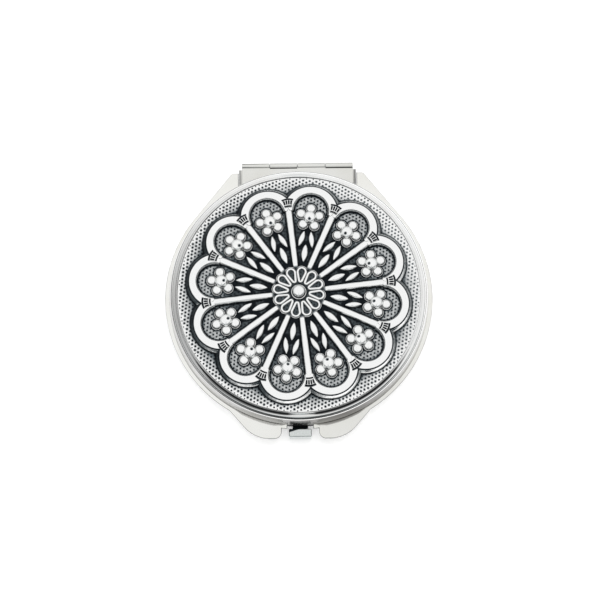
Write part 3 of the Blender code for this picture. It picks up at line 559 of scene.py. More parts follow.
def lathe_data(profile, steps):
    """Points and faces of a turned shape. The profile is closed, or ends on the axis twice."""
    points, rings = [], []
    for r, z in profile:
        ring = [(0, 0, z)] if r < WELD else circle(steps, r, z)
        rings.append(range(len(points), len(points) + len(ring)))
        points += ring
    pairs = list(zip(rings, rings[1:]))
    if len(rings[0]) > 1:
        pairs.append((rings[-1], rings[0]))
    faces = []
    for first, second in pairs:
        for i in range(steps):
            j = (i + 1) % steps
            face = [first[i % len(first)], first[j % len(first)], second[j % len(second)], second[i % len(second)]]
            faces.append(list(dict.fromkeys(face)))
    return points, faces


def lathe(name, profile, steps):
    return mesh_object(name, *lathe_data(profile, steps))


def cut(piece, corner, opposite):
    """Cuts a block out of a piece."""
    corner, opposite = Vector(corner), Vector(opposite)
    bm = bmesh.new()
    place = Matrix.Translation((opposite + corner) / 2) @ Matrix.Diagonal((*(opposite - corner), 1))
    bmesh.ops.create_cube(bm, size=1, matrix=place)
    cutter = bmesh_object("cutter", bm)
    modifier = piece.modifiers.new("Cut", "BOOLEAN")
    modifier.operation = "DIFFERENCE"
    modifier.object = cutter
    to_plain_mesh(piece)
    bpy.data.objects.remove(cutter, do_unlink=True)


def outline_places(outline, is_hole):
    """The outline's places without doubles, in the order that has the plate on its left."""
    places = [Vector(p) for p in outline]
    places = [p for i, p in enumerate(places) if (p - places[i - 1]).length > WELD * 10]
    area = sum(p.cross(places[(i + 1) % len(places)]) for i, p in enumerate(places))
    if (area > 0) == is_hole:
        places.reverse()
    return places


def inset_steps(places):
    """The step into the plate, at each place of an outline, that moves both its sides in by 1."""
    sharpest = 0.4
    steps = []
    for i, p in enumerate(places):
        before = (p - places[i - 1]).normalized()
        after = (places[(i + 1) % len(places)] - p).normalized()
        normals = Vector((-before.y, before.x)), Vector((-after.y, after.x))
        steps.append((normals[0] + normals[1]) / max(sharpest, 1 + normals[0].dot(normals[1])))
    return steps


def slab(name, outlines, bottom, top, edge):
    """A flat plate with rounded edges. The first outline is the plate's and the others are holes."""
    turns = [math.pi / 2 * i / 3 for i in range(4)]
    profile = [(edge * (1 - math.cos(t)), bottom + edge * (1 - math.sin(t))) for t in reversed(turns)]
    profile += [(edge * (1 - math.cos(t)), top - edge * (1 - math.sin(t))) for t in turns]
    bm = bmesh.new()
    caps = [], []
    for order, outline in enumerate(outlines):
        places = outline_places(outline, order > 0)
        steps = inset_steps(places)
        count = len(places)
        rows = [[bm.verts.new((*(p + step * inset), z)) for p, step in zip(places, steps)] for inset, z in profile]
        for lower, upper in zip(rows, rows[1:]):
            for i in range(count):
                j = (i + 1) % count
                bm.faces.new((lower[i], lower[j], upper[j], upper[i]))
        for cap, row in zip(caps, (rows[0], rows[-1])):
            cap += [bm.edges.get((row[i], row[(i + 1) % count])) for i in range(count)]
    for cap in caps:
        bmesh.ops.triangle_fill(bm, use_beauty=True, use_dissolve=False, edges=cap)
    plate = bmesh_object(name, bm)
    face_out(plate.data)
    return plate


def corner_round(before, corner, after, radius, steps):
    """Points of the arc that rounds one corner of an outline."""
    corner = Vector(corner)
    to_before = (Vector(before) - corner).normalized()
    to_after = (Vector(after) - corner).normalized()
    half = to_before.angle(to_after) / 2
    centre = corner + (to_before + to_after).normalized() * radius / math.sin(half)
    first = corner + to_before * radius / math.tan(half) - centre
    last = corner + to_after * radius / math.tan(half) - centre
    start = math.atan2(first.y, first.x)
    sweep = (math.atan2(last.y, last.x) - start + math.pi) % math.tau - math.pi
    return arc(centre, radius, start, start + sweep, steps)


class GeometryTree(NodeMaker):
    """A Geometry Nodes tree in the making, with a geometry in and out, and named inputs."""

    def __init__(self, name, **inputs):
        self.tree = bpy.data.node_groups.new(name, "GeometryNodeTree")
        super().__init__(self.tree)
        sockets = self.tree.interface
        sockets.new_socket("Geometry", in_out="OUTPUT", socket_type="NodeSocketGeometry")
        for label, kind in {"geometry": "Geometry", **inputs, "material": "Material"}.items():
            label = label.replace("_", " ").capitalize()
            sockets.new_socket(label, in_out="INPUT", socket_type=f"NodeSocket{kind}")
        self.given = self.node("NodeGroupInput").outputs
        self.index = self.first("GeometryNodeInputIndex")

    def vector(self, x=0.0, y=0.0, z=0.0):
        return self.first("ShaderNodeCombineXYZ", {0: x, 1: y, 2: z})

    def reach(self):
        """Distance of a point from the middle, seen from above."""
        parts = self.parts(self.first("GeometryNodeInputPosition"))
        return self.math("SQRT", self.math("ADD", *(self.math("MULTIPLY", parts[i], parts[i]) for i in (0, 1))))

    def copies(self, points, **inputs):
        """The given geometry, copied to points and made real."""
        inputs = {"Points": points, "Instance": self.given["Geometry"], **inputs}
        return self.first("GeometryNodeRealizeInstances", {0: self.first("GeometryNodeInstanceOnPoints", inputs)})

    def finish(self, geometry):
        paint = {"Geometry": geometry, "Material": self.given["Material"]}
        self.node("NodeGroupOutput", {0: self.first("GeometryNodeSetMaterial", paint)})
        return self.tree


def ring_tree():
    """Copies of a flat bay turned round the middle and laid on the dome."""
    sizes = dict.fromkeys(("turn", "field_radius", "crown", "edge_height"), "Float")
    make = GeometryTree("ring_on_dome", copies="Int", **sizes)
    given = make.given
    step = make.math("DIVIDE", math.tau, given["Copies"])
    turn = make.math("ADD", make.math("MULTIPLY", make.index, step), given["Turn"])
    rotation = make.first("FunctionNodeEulerToRotation", {0: make.vector(z=turn)})
    points = make.first("GeometryNodePoints", {"Count": given["Copies"]})
    real = make.copies(points, Rotation=rotation)
    share = make.math("DIVIDE", make.reach(), given["Field radius"])
    fall = make.math("SUBTRACT", 1.0, make.math("MULTIPLY", share, share))
    rise = make.math("ADD", given["Edge height"], make.math("MULTIPLY", fall, given["Crown"]))
    return make.finish(make.first("GeometryNodeSetPosition", {"Geometry": real, "Offset": make.vector(z=rise)}))


def stipple_tree():
    """Tiles with a pit each, in staggered lines, as far as a radius."""
    sizes = dict.fromkeys(("pitch", "line_pitch", "turn", "reach"), "Float")
    make = GeometryTree("staggered_tiles", lines="Int", per_line="Int", **sizes)
    given = make.given
    lines, per_line = given["Lines"], given["Per line"]
    line = make.math("FLOOR", make.math("DIVIDE", make.math("ADD", make.index, 0.5), per_line))
    place = make.math("SUBTRACT", make.index, make.math("MULTIPLY", line, per_line))
    odd = make.math("MULTIPLY", make.math("MODULO", line, 2.0), 0.5)
    across = make.math("SUBTRACT", line, make.math("DIVIDE", lines, 2.0))
    along = make.math("ADD", make.math("SUBTRACT", place, make.math("DIVIDE", per_line, 2.0)), odd)
    x = make.math("MULTIPLY", across, given["Line pitch"])
    y = make.math("MULTIPLY", along, given["Pitch"])
    count = make.math("MULTIPLY", lines, per_line)
    points = make.first("GeometryNodePoints", {"Count": count, "Position": make.vector(x, y)})
    past = make.math("GREATER_THAN", make.reach(), given["Reach"])
    kept = make.first("GeometryNodeDeleteGeometry", {"Geometry": points, "Selection": past}, domain="POINT")
    welded = make.first("GeometryNodeMergeByDistance", {"Geometry": make.copies(kept), "Distance": WELD})
    rotation = make.vector(z=given["Turn"])
    return make.finish(make.first("GeometryNodeTransform", {"Geometry": welded, "Rotation": rotation}))


def row_tree():
    """Copies of a piece at even steps along X."""
    make = GeometryTree("row_along_x", copies="Int", start="Float", step="Float")
    given = make.given
    x = make.math("ADD", make.math("MULTIPLY", make.index, given["Step"]), given["Start"])
    points = make.first("GeometryNodePoints", {"Count": given["Copies"], "Position": make.vector(x)})
    return make.finish(make.copies(points))


def run_tree(piece, tree, **values):
    """Runs a Geometry Nodes tree on a piece and keeps the result as its plain mesh."""
    modifier = piece.modifiers.new(tree.name, "NODES")
    modifier.node_group = tree
    for item in tree.interface.items_tree:
        key = item.name.lower().replace(" ", "_")
        if item.in_out == "INPUT" and key in values:
            modifier[item.identifier] = values[key]
    to_plain_mesh(piece)


class FlatBay:
    """Collects points, faces and oxide of relief that lies flat, before it goes on the dome."""

    def __init__(self, name):
        self.name, self.points, self.faces, self.oxide = name, [], [], []

    def add(self, points, faces, oxide):
        start = len(self.points)
        self.points += [tuple(p) for p in points]
        self.faces += [[start + i for i in face] for face in faces]
        self.oxide += list(oxide)

    def skin(self, rows, oxide, looped=False):
        """A skin over rows of points, each row closed in itself. It has end caps, or joins its two ends."""
        count, width = len(rows), len(rows[0])
        faces = []
        for i in range(count if looped else count - 1):
            after = (i + 1) % count
            for j in range(width):
                k = (j + 1) % width
                faces.append([i * width + j, i * width + k, after * width + k, after * width + j])
        if not looped:
            faces += [list(range(width)), [(count - 1) * width + j for j in range(width)]]
        self.add([p for row in rows for p in row], faces, [o for row in oxide for o in row])

    def mound(self, lengthwise, crosswise, rule):
        """A raised patch on a flat foot. The rule gives x, y, rise and oxide at a share along and a side."""
        rows, oxide = [], []
        for i in range(lengthwise + 1):
            line = [rule(i / lengthwise, 2 * j / crosswise - 1) for j in range(crosswise + 1)]
            feet = [(x, y, FOOT) for x, y, _, _ in (line[-1], line[0])]
            rows.append([p[:3] for p in line] + feet)
            oxide.append([p[3] for p in line] + [1.0, 1.0])
        self.skin(rows, oxide)

    def finish(self, turn=0.0, copies=None):
        """Turns the bay round the medallion, on its dome."""
        sizes = bpy.context.scene.mirror_medallion
        piece = raw_object(self.name, self.points, self.faces)
        set_oxide(piece.data, self.oxide)
        run_tree(
            piece,
            ring_tree(),
            copies=copies or sizes.bays,
            turn=sizes.turn + turn,
            field_radius=high("medallion").x,
            crown=sizes.crown,
            edge_height=low("medallion").z + sizes.edge,
            material=finish_named("patina"),
        )
        face_out(piece.data)
        finish_piece(piece, "patina", "lid", "medallion", sharp=50)
        return piece


def foot_oxide(rise, dark, bright):
    """Oxide of relief by its rise above the ground: dark at the foot, bright on top."""
    return 1.0 - min(1.0, max(0.0, (rise - dark) / (bright - dark)))


def turned_relief(profile, oxide, steps):
    """Points, faces and oxide of a turned shape, whose first and last profile points lie on its axis."""
    points, faces = lathe_data(profile, steps)
    values = []
    for (r, _), o in zip(profile, oxide):
        values += [o] * (1 if r < WELD else steps)
    return [Vector(p) for p in points], faces, values


def make_arches():
    """Wide bands, flat on top, with a fine bead low on the inner side."""
    sizes = bpy.context.scene.mirror_medallion
    half_bay = math.pi / sizes.bays
    widest, overlap = math.radians(97), math.radians(0.6)
    steps = 44
    curves = []
    for share, rise, _ in ARCH_PROFILE:
        centre = sizes.arch_outer_centre + (sizes.arch_inner_centre - sizes.arch_outer_centre) * share
        radius = sizes.arch_outer + (sizes.arch_inner - sizes.arch_outer) * share - centre
        limit = half_bay + math.asin(min(1.0, centre * math.sin(half_bay) / radius))
        curves.append((centre, radius, min(limit, widest) + overlap, rise / 1000))
    rows = []
    for i in range(steps + 1):
        side = 2 * i / steps - 1
        rows.append([
            (centre + radius * math.cos(limit * side), radius * math.sin(limit * side), rise)
            for centre, radius, limit, rise in curves
        ])
    bay = FlatBay("medallion_arches")
    bay.skin(rows, [[oxide for _, _, oxide in ARCH_PROFILE]] * len(rows))
    arches = bay.finish()
    # Painted highlight on the arches' slopes that face 290 and 70 degrees.
    lighten_slopes_facing(arches, 290, 0.95)
    lighten_slopes_facing(arches, 70, 0.7)


def make_columns():
    """Tapered half-round bars on a fine foot, rounded off at their inner end."""
    sizes = bpy.context.scene.mirror_medallion
    profile = [*COLUMN_PROFILE, *((-a, b, o) for a, b, o in reversed(COLUMN_PROFILE[:-1]))]
    foot_half, spread, foot_rise, growth = 0.00067, 0.00023, 0.00078, 0.00036
    steps, rounded_steps, end_size, end_oxide = 20, 1.5, 0.72, 0.75
    rows, oxide = [], []
    for i in range(steps + 1):
        share = i / steps
        along = sizes.column_foot + (sizes.column_head - sizes.column_foot) * share
        size = end_size + (1 - end_size) * math.sqrt(1 - max(0.0, 1 - i / rounded_steps) ** 2)
        half_width, rise = (foot_half + spread * share) * size, (foot_rise + growth * share) * size
        rows.append([(along, a * half_width, FOOT if b < 0 else b * rise) for a, b, _ in profile])
        oxide.append([max(o, end_oxide if i == 0 else 0.0) for _, _, o in profile])
    bay = FlatBay("medallion_columns")
    bay.skin(rows, oxide)
    bay.finish(math.pi / sizes.bays)


def make_capitals():
    """Fans with four dark flutes between two curved collars."""
    sizes = bpy.context.scene.mirror_medallion
    foot_half, flare, fan_width, bow = 0.00098, 0.00074, 0.00135, 0.00036
    height, sag, groove, side_drop, end_drop = 0.00166, 0.0001, 0.00022, 0.0005, 0.0004
    flutes, flute_half = (-0.00093, -0.00031, 0.00031, 0.00093), 0.0002
    flutes_start, flutes_end, softness = 0.3, 0.72, 0.02
    foot_collar, head_collar = (0.12, 0.07), (0.87, 0.08)
    side_start, foot_end, head_start = 0.88, 0.04, 0.95

    def fan(along, side):
        half_width = foot_half + flare * along**1.3
        x = sizes.capital_foot + (sizes.capital_head - sizes.capital_foot) * along
        x += bow * (1 - side**2) * (0.35 + 0.65 * along)
        flute = max(bell(side * fan_width, place, flute_half, 4) for place in flutes)
        flute /= 1 + math.exp((flutes_start - along) / softness)
        flute /= 1 + math.exp((along - flutes_end) / softness)
        sunk = max(flute, bell(along, *foot_collar, 4) + bell(along, *head_collar, 4))
        edge = max(0.0, abs(side) - side_start) / (1 - side_start)
        end = max(0.0, along - head_start) / (1 - head_start) + max(0.0, foot_end - along) / foot_end
        rise = height - sag * side**2 - side_drop * edge**2 - groove * sunk - end_drop * end**2
        return x, side * half_width, rise, min(1.0, sunk * 1.5 + edge**2 * 0.3 + end * 0.6)

    bay = FlatBay("medallion_capitals")
    bay.mound(34, 44, fan)
    bay.finish(math.pi / sizes.bays)


def bead_profile(radius, rise, dome, collar, wire, start=0.0):
    """A full bead with its dome above a rise, on a collar of round wire, and each point's oxide."""
    step, neck, neck_height = math.radians(8.8), radius * 0.97, 0.00012
    profile, oxide = [(0, rise + dome)], [0.0]
    for i in range(1, 11):
        height = rise + dome * math.cos(step * i) ** BEAD_FLATNESS
        profile.append((radius * math.sin(step * i) ** BEAD_FULLNESS, height))
        oxide.append(foot_oxide(height - start, *BEAD_FADE))
    profile += [(neck, start + neck_height), ((neck + collar - wire) / 2, start)]
    oxide += [1.0, 1.0]
    middle = start + wire * 0.6
    for degrees, dark in ((150, 0.85), (100, 0.0), (50, 0.0), (0, 0.0), (-50, 0.85)):
        turn = math.radians(degrees)
        profile.append((collar + wire * math.cos(turn), middle + wire * math.sin(turn)))
        oxide.append(dark)
    profile += [(collar + wire, FOOT), (0, FOOT)]
    oxide += [1.0, 1.0]
    return profile, oxide


def flower_bead(middle):
    """Points, faces and oxide of a flower's raised bead, with a small eye, in its cup."""
    reach, upper_start, upper_dome, lower_start, lower_dome = 0.00156, 0.00044, 0.00099, 0.0004, 0.00143
    step, dark_to = math.radians(10.5), 0.0005
    profile, oxide = [(0, middle.z + lower_dome)], [0.0]
    for i in range(1, 11):
        turn = step * i
        if turn < math.pi / 2:
            rise, fullness = upper_start + upper_dome * math.cos(turn) ** BEAD_FLATNESS, BEAD_FULLNESS
        else:
            rise, fullness = lower_start + lower_dome * math.cos(turn), 1.0
        profile.append((reach * math.sin(turn) ** fullness, middle.z + rise))
        oxide.append(foot_oxide(middle.z + rise - dark_to, *BEAD_FADE))
    profile += [(r / 1000, z / 1000) for r, z, _ in CUP_PROFILE] + [(0, FOOT)]
    oxide += [o for _, _, o in CUP_PROFILE] + [1.0]
    points, faces, values = turned_relief(profile, oxide, 30)
    eye, eye_width, eye_depth, eye_dark = Vector((-0.5, 0, 0.866)), math.radians(12), 0.00032, 1.6
    for i, point in enumerate(points):
        away = point - middle
        if away.length > 0 and point.z > middle.z:
            near = bell(away.angle(eye), 0, eye_width)
            point -= away.normalized() * eye_depth * near
            values[i] = max(values[i], min(1.0, near * eye_dark))
    return points, faces, values


def make_flowers():
    """Five round petals on collars, and a raised bead with a small eye in a cup."""
    sizes = bpy.context.scene.mirror_medallion
    bay = FlatBay("medallion_flowers")
    flower = Vector((sizes.flower_place, 0, 0))
    profile, oxide = bead_profile(radius=0.00115, rise=0.0006, dome=0.00062, collar=0.0013, wire=0.0001)
    petal, faces, oxide = turned_relief(profile, oxide, 20)
    for i in range(5):
        turn = Matrix.Rotation(math.tau * i / 5, 3, "Z")
        place = flower + turn @ Vector((sizes.petal_offset, 0, 0))
        bay.add([turn @ p + place for p in petal], faces, oxide)
    points, faces, oxide = flower_bead(middle=Vector((0, 0, 0.00082)))
    bay.add([p + flower for p in points], faces, oxide)
    bay.finish()


def make_leaves():
    """Pointed leaves with a crest: one near the rosette and a pair towards the flower."""
    bay = FlatBay("medallion_leaves")
    narrowest, taper, crest, crest_taper, roundness, sunk = 0.05, 0.75, 0.00084, 0.6, 2.8, 0.00002
    for start, end, half_width in LEAVES:
        start, end = Vector(start), Vector(end)
        direction = (end - start).normalized()
        aside = Vector((-direction.y, direction.x))

        def leaf(along, side):
            swell = max(narrowest, math.sin(math.pi * along) ** taper)
            rise = crest * swell**crest_taper * (1 - abs(side) ** roundness) - sunk
            place = start.lerp(end, along) + aside * side * half_width * swell
            return *place, rise, foot_oxide(rise, 0.00004, 0.00016)

        bay.mound(18, 12, leaf)
    bay.finish()


def add_wire(bay, path, half_width, rise, looped):
    """Adds a half-round wire along a path of places and outward normals."""
    turns = [math.tau * j / 10 for j in range(10)]
    heights = [rise * (0.3 + 0.7 * math.sin(turn)) for turn in turns]
    aside = [half_width * math.cos(turn) for turn in turns]
    rows = [[(x + nx * a, y + ny * a, height) for a, height in zip(aside, heights)] for (x, y), (nx, ny) in path]
    oxide = [foot_oxide(height, rise * 0.2, rise * 0.55) for height in heights]
    bay.skin(rows, [oxide] * len(rows), looped)


def make_rosette():
    """Drop-shaped wire loops with a fine collar, round a beaded centre."""
    sizes = bpy.context.scene.mirror_medallion
    bay = FlatBay("medallion_rosette_loops")
    touch = math.acos((sizes.loop_narrow - sizes.loop_wide) / (sizes.loop_outer - sizes.loop_inner))
    collar_reach, collar_end = sizes.loop_wide + sizes.loop_wire + 0.00013, math.radians(62)

    def along_arc(place, radius, start, end, steps):
        normals = arc((0, 0), 1, start, end, steps)
        return [((place + radius * x, radius * y), (x, y)) for x, y in normals]

    loop = along_arc(sizes.loop_outer, sizes.loop_wide, -touch, touch, 22)
    loop += along_arc(sizes.loop_inner, sizes.loop_narrow, touch, math.tau - touch, 10)
    add_wire(bay, loop, sizes.loop_wire, rise=0.00052, looped=True)
    collar = along_arc(sizes.loop_outer, collar_reach, -collar_end, collar_end, 16)
    add_wire(bay, collar, half_width=0.0001, rise=0.00022, looped=False)
    bay.finish()
    centre = FlatBay("medallion_rosette_bead")
    profile, oxide = bead_profile(
        radius=0.00158, rise=0.0012, dome=0.00096, collar=0.00183, wire=0.00015, start=0.00012
    )
    centre.add(*turned_relief(profile, oxide, 48))
    centre.finish(copies=1)


def bay_coordinates(x, y, sizes):
    """Folds places into one half bay: their reach, and their place along its axis and aside."""
    step = math.tau / sizes.bays
    turn = np.abs((np.arctan2(y, x) - sizes.turn + step / 2) % step - step / 2)
    reach = np.hypot(x, y)
    return reach, reach * np.cos(turn), reach * np.sin(turn)


def line_distance(x, y, start, end):
    """Distance of places from a straight line between two points."""
    dx, dy = end[0] - start[0], end[1] - start[1]
    share = np.clip(((x - start[0]) * dx + (y - start[1]) * dy) / (dx * dx + dy * dy), 0, 1)
    return np.hypot(x - start[0] - share * dx, y - start[1] - share * dy)


def fading(distance, clear, fade):
    """1 as far as a distance, fading to 0 past it."""
    return np.exp(-np.clip(distance - clear, 0, None) / fade)


def oxide_outside(x, y, from_arch, from_next, rubbed):
    """Patina outside the arches: a thin halo round them, darker corners between two, and a light veil."""
    halo_clear, halo_fade, corner_fade, corner_reach = -0.00005, 0.00014 - 0.00005 * rubbed, 0.0005, 0.0036
    halo = sum(fading(distance, halo_clear, halo_fade) for distance in (from_arch, from_next))
    gap = np.clip(from_arch + from_next, 0, None)
    corner = 0.45 * fading(gap, 0, corner_fade) + (0.4 - 0.1 * rubbed) * bell(gap, 0, corner_reach)
    veil = 0.12 * (1 - rubbed) + 0.16 * towards(x, y, 352) ** 10
    return np.clip(halo + corner + veil, 0, 1)


def oxide_inside(reach, along, aside, sizes):
    """Patina inside the arches: black at the relief's foot, and dark towards the rosette."""
    column_half, bead_reach, petal_reach, leaf_share = 0.00095, 0.0018, 0.00135, 0.75
    rosette_edge, rosette_rim, rim_half = 0.0067, 0.0069, 0.0003
    contact_clear, contact_fade, arch_overlap = 0.0002, 0.00024, 0.0008
    low_start, low_fade, black_start, black_fade = 0.0205, 0.0025, 0.0026, 0.0008
    half_bay = math.pi / sizes.bays
    near = [
        np.abs(along * math.sin(half_bay) - aside * math.cos(half_bay)) - column_half,
        np.hypot(along - sizes.flower_place, aside) - bead_reach,
        np.abs(reach - rosette_rim) - rim_half,
    ]
    centre = sizes.arch_inner_centre
    from_arch = sizes.arch_inner - centre - np.hypot(along - centre, aside)
    near.append(np.where(along > centre - arch_overlap, from_arch, 1.0))
    for x, y in arc((sizes.flower_place, 0), sizes.petal_offset, 0, math.radians(144), 2):
        near.append(np.hypot(along - x, aside - y) - petal_reach)
    for start, end, half_width in LEAVES:
        near.append(line_distance(along, aside, start, end) - half_width * leaf_share)
    contact = fading(np.minimum.reduce(near), contact_clear, contact_fade)
    low_bay = np.clip((low_start - reach) / low_fade, 0, 1)
    rosette = np.clip(0.66 + 0.34 * (black_start - reach) / black_fade, 0.66, 1)
    return np.where(reach < rosette_edge, rosette, np.maximum(0.34 + 0.38 * low_bay, contact))


def ground_oxide(x, y, rise, sizes):
    """Patina of the ground: dark in the bays, at the relief's foot and in the pits."""
    reach, along, aside = bay_coordinates(x, y, sizes)
    # The share named rubbed only marks the upper right, at 25 degrees, where the patina is lighter.
    rubbed, under_arch = towards(x, y, 25), 0.001
    centre, bay = sizes.arch_outer_centre, math.tau / sizes.bays
    foot = sizes.arch_outer - centre
    from_arch = np.hypot(along - centre, aside) - foot
    from_next = np.hypot(along - centre * math.cos(bay), aside - centre * math.sin(bay)) - foot
    within = (from_arch < -under_arch) | (along < centre)
    inside, outside = oxide_inside(reach, along, aside, sizes), oxide_outside(x, y, from_arch, from_next, rubbed)
    pit_level = np.where(within, 0.85, 1.0 - 0.42 * rubbed**2)
    pit = np.clip(-rise / sizes.pit_depth, 0, 1) ** 0.65 * pit_level
    return np.clip(np.maximum(np.where(within, inside, outside), pit), 0, 1)


def tile_shape(sizes):
    """Half the side of a ground tile and its tip's reach, where six-sided tiles leave no gap."""
    line, pitch = sizes.pit_lines, sizes.pit_pitch
    square = (line**2 + pitch**2 / 4) / 2
    return (square - pitch**2 / 4) / line, square / line


def pitted_tile(sizes):
    """Points and faces of a six-sided tile with a round pit."""
    (side, tip), half = tile_shape(sizes), sizes.pit_pitch / 2
    points = [(tip, 0, 0), (side, half, 0), (-side, half, 0), (-tip, 0, 0), (-side, -half, 0), (side, -half, 0)]
    points += circle(12, sizes.pit_radius, -0.2 * sizes.pit_depth) + circle(6, sizes.pit_floor, -sizes.pit_depth)
    faces = []
    for i in range(6):
        j = (i + 1) % 6
        mouth = [6 + 2 * i, 7 + 2 * i, 6 + (2 * i + 2) % 12]
        faces += [[i, mouth[1], mouth[0]], [i, j, mouth[1]], [j, mouth[2], mouth[1]]]
        faces += [[mouth[0], mouth[1], 18 + i], [mouth[1], 18 + j, 18 + i], [mouth[1], mouth[2], 18 + j]]
    faces.append(list(range(18, 24)))
    return points, faces


def edge_pits(sizes, radius, border, lines, per_line):
    """Pits of the lattice in the border that the tiles leave free, and cut ones moved in to its edge."""
    room, past_edge, moved_in = 0.00005, 0.00003, 0.00024
    moved_radius, moved_gap = 0.00018, 0.00022
    turn = Matrix.Rotation(sizes.pit_turn, 2)
    whole_reach = radius - sizes.pit_radius - room
    pits, cut_off = [], []
    for i in range(lines):
        x = (i - lines / 2) * sizes.pit_lines
        for j in range(per_line):
            place = turn @ Vector((x, (j - per_line / 2 + 0.5 * (i % 2)) * sizes.pit_pitch))
            reach = place.length
            if radius - border < reach <= whole_reach:
                pits.append((place, sizes.pit_radius * 0.9))
            elif whole_reach < reach < radius + past_edge:
                cut_off.append(place * (radius - moved_in) / reach)
    for place in cut_off:
        if all((place - other).length > mouth + moved_gap for other, mouth in pits):
            pits.append((place, moved_radius))
    return pits


def ring_edges(bm, ring):
    return [bm.edges.new(pair) for pair in zip(ring, ring[1:] + ring[:1])]


def join_rings(bm, upper, lower):
    for i in range(len(upper)):
        j = (i + 1) % len(upper)
        bm.faces.new((upper[i], upper[j], lower[j], lower[i]))


def close_ground(bm, sizes, radius, pits):
    """Fills the border between the tiles and the edge round its pits, and adds the rim and the underside."""
    edges = [e for e in bm.edges if len(e.link_faces) == 1]
    border = [bm.verts.new(p) for p in circle(256, radius)]
    edges += ring_edges(bm, border)
    for middle, mouth in pits:
        upper = [bm.verts.new(p) for p in circle(8, mouth, 0, middle)]
        lower = [bm.verts.new(p) for p in circle(8, mouth * 0.7, -sizes.pit_depth, middle)]
        edges += ring_edges(bm, upper)
        join_rings(bm, upper, lower)
        bm.faces.new(lower)
    bmesh.ops.triangle_fill(bm, use_beauty=True, use_dissolve=False, edges=edges)
    foot = [bm.verts.new((v.co.x, v.co.y, -sizes.edge)) for v in border]
    join_rings(bm, border, foot)
    bm.faces.new(foot)
    if any(len(e.link_faces) != 2 for e in bm.edges):
        raise RuntimeError("The medallion's ground has open edges. Give its pits more room.")
    bmesh.ops.recalc_face_normals(bm, faces=bm.faces)


def make_ground():
    """Domed plate whose top is covered with staggered pits, with single pits along its edge."""
    sizes = bpy.context.scene.mirror_medallion
    radius = high("medallion").x
    border = tile_shape(sizes)[1] + 0.00003
    lines = 2 * math.ceil(radius / sizes.pit_lines) + 2
    per_line = 2 * math.ceil(radius / sizes.pit_pitch) + 2
    ground = raw_object("medallion_ground", *pitted_tile(sizes))
    run_tree(
        ground,
        stipple_tree(),
        lines=lines,
        per_line=per_line,
        pitch=sizes.pit_pitch,
        line_pitch=sizes.pit_lines,
        turn=sizes.pit_turn,
        reach=radius - border,
        material=finish_named("patina"),
    )
    mesh = ground.data
    bm = bmesh.new()
    bm.from_mesh(mesh)
    close_ground(bm, sizes, radius, edge_pits(sizes, radius, border, lines, per_line))
    bm.to_mesh(mesh)
    bm.free()
    places = vertex_rows(mesh, "co")
    x, y, z = places.T
    set_oxide(mesh, ground_oxide(x, y, np.maximum(z, -sizes.pit_depth), sizes))
    dome = sizes.crown * (1 - (np.hypot(x, y) / radius) ** 2)
    z += low("medallion").z + sizes.edge + np.where(z > -sizes.edge * 0.9, dome, 0)
    mesh.vertices.foreach_set("co", places.ravel())
    mesh.update()
    finish_piece(ground, "patina", "lid", "medallion", sharp=60)


def make_shell():
    """The lid's drawn shell, whose wall leans in a little."""
    case = bpy.context.scene.mirror_case
    radius, bottom, top = high("lid_shell").x, low("lid_shell").z, high("lid_shell").z
    ring_outer = high("lid_rim_ring").x
    floor = low("lid_rim_ring").z - case.seat_gap
    ceiling, inner = floor - case.lid_sheet, radius - case.sheet
    lip_gap, lip_lean, lip_width, lip_drop = 0.00002, 0.00003, 0.0001, 0.00006
    wall_foot, hem_round, ceiling_round = 0.0007, 0.00015, 0.0004
    lip = [(ring_outer + lip_gap, floor), (ring_outer + lip_lean, top - lip_drop), (ring_outer + lip_width, top)]
    lean = [(radius - inward, top - down) for inward, down in LEANING_WALL]
    outside = rounded_line([*lip, *lean, (radius, bottom + wall_foot)])
    foot = [(radius, bottom + height / 1000) for height in (0.6, 0.45, 0.3)]
    hem = arc((radius - hem_round, bottom + hem_round), hem_round, 0, -math.pi / 2, 4)
    inside = arc((inner - ceiling_round, ceiling - ceiling_round), ceiling_round, 0, math.pi / 2, 5)
    seat = [(0, floor), (ring_outer - 0.0003, floor)]
    profile = [*seat, *outside, *foot, *hem, (inner, bottom), *inside, (0, ceiling)]
    shell = lathe("lid_shell_drawn", profile, case.turn_steps)
    hem_top, wall_top = bottom + 0.00065, top - 0.0003

    # Painted reflection and shade: the wall darker towards the front, and a dark line along the hem for the contact
    # shadow. The shell is also darker towards the left.
    def shell_painted_shade(x, y, z, reach):
        front = towards(x, y, 270)
        shown = reach > inner + 0.00005
        wall = (0.2 + 0.38 * front**3 + 0.3 * towards(x, y, 296) ** 24) * (z < wall_top)
        hem = (0.7 - 0.1 * front + 0.2 * towards(x, y, 180) ** 4) * (z < hem_top)
        crown = 0.45 * towards(x, y, 200) ** 6
        return np.maximum.reduce([wall, hem, crown]) * shown

    paint_oxide_and_shade(shell, shell_painted_shade)
    finish_piece(shell, "shell", "lid", "lid_shell")


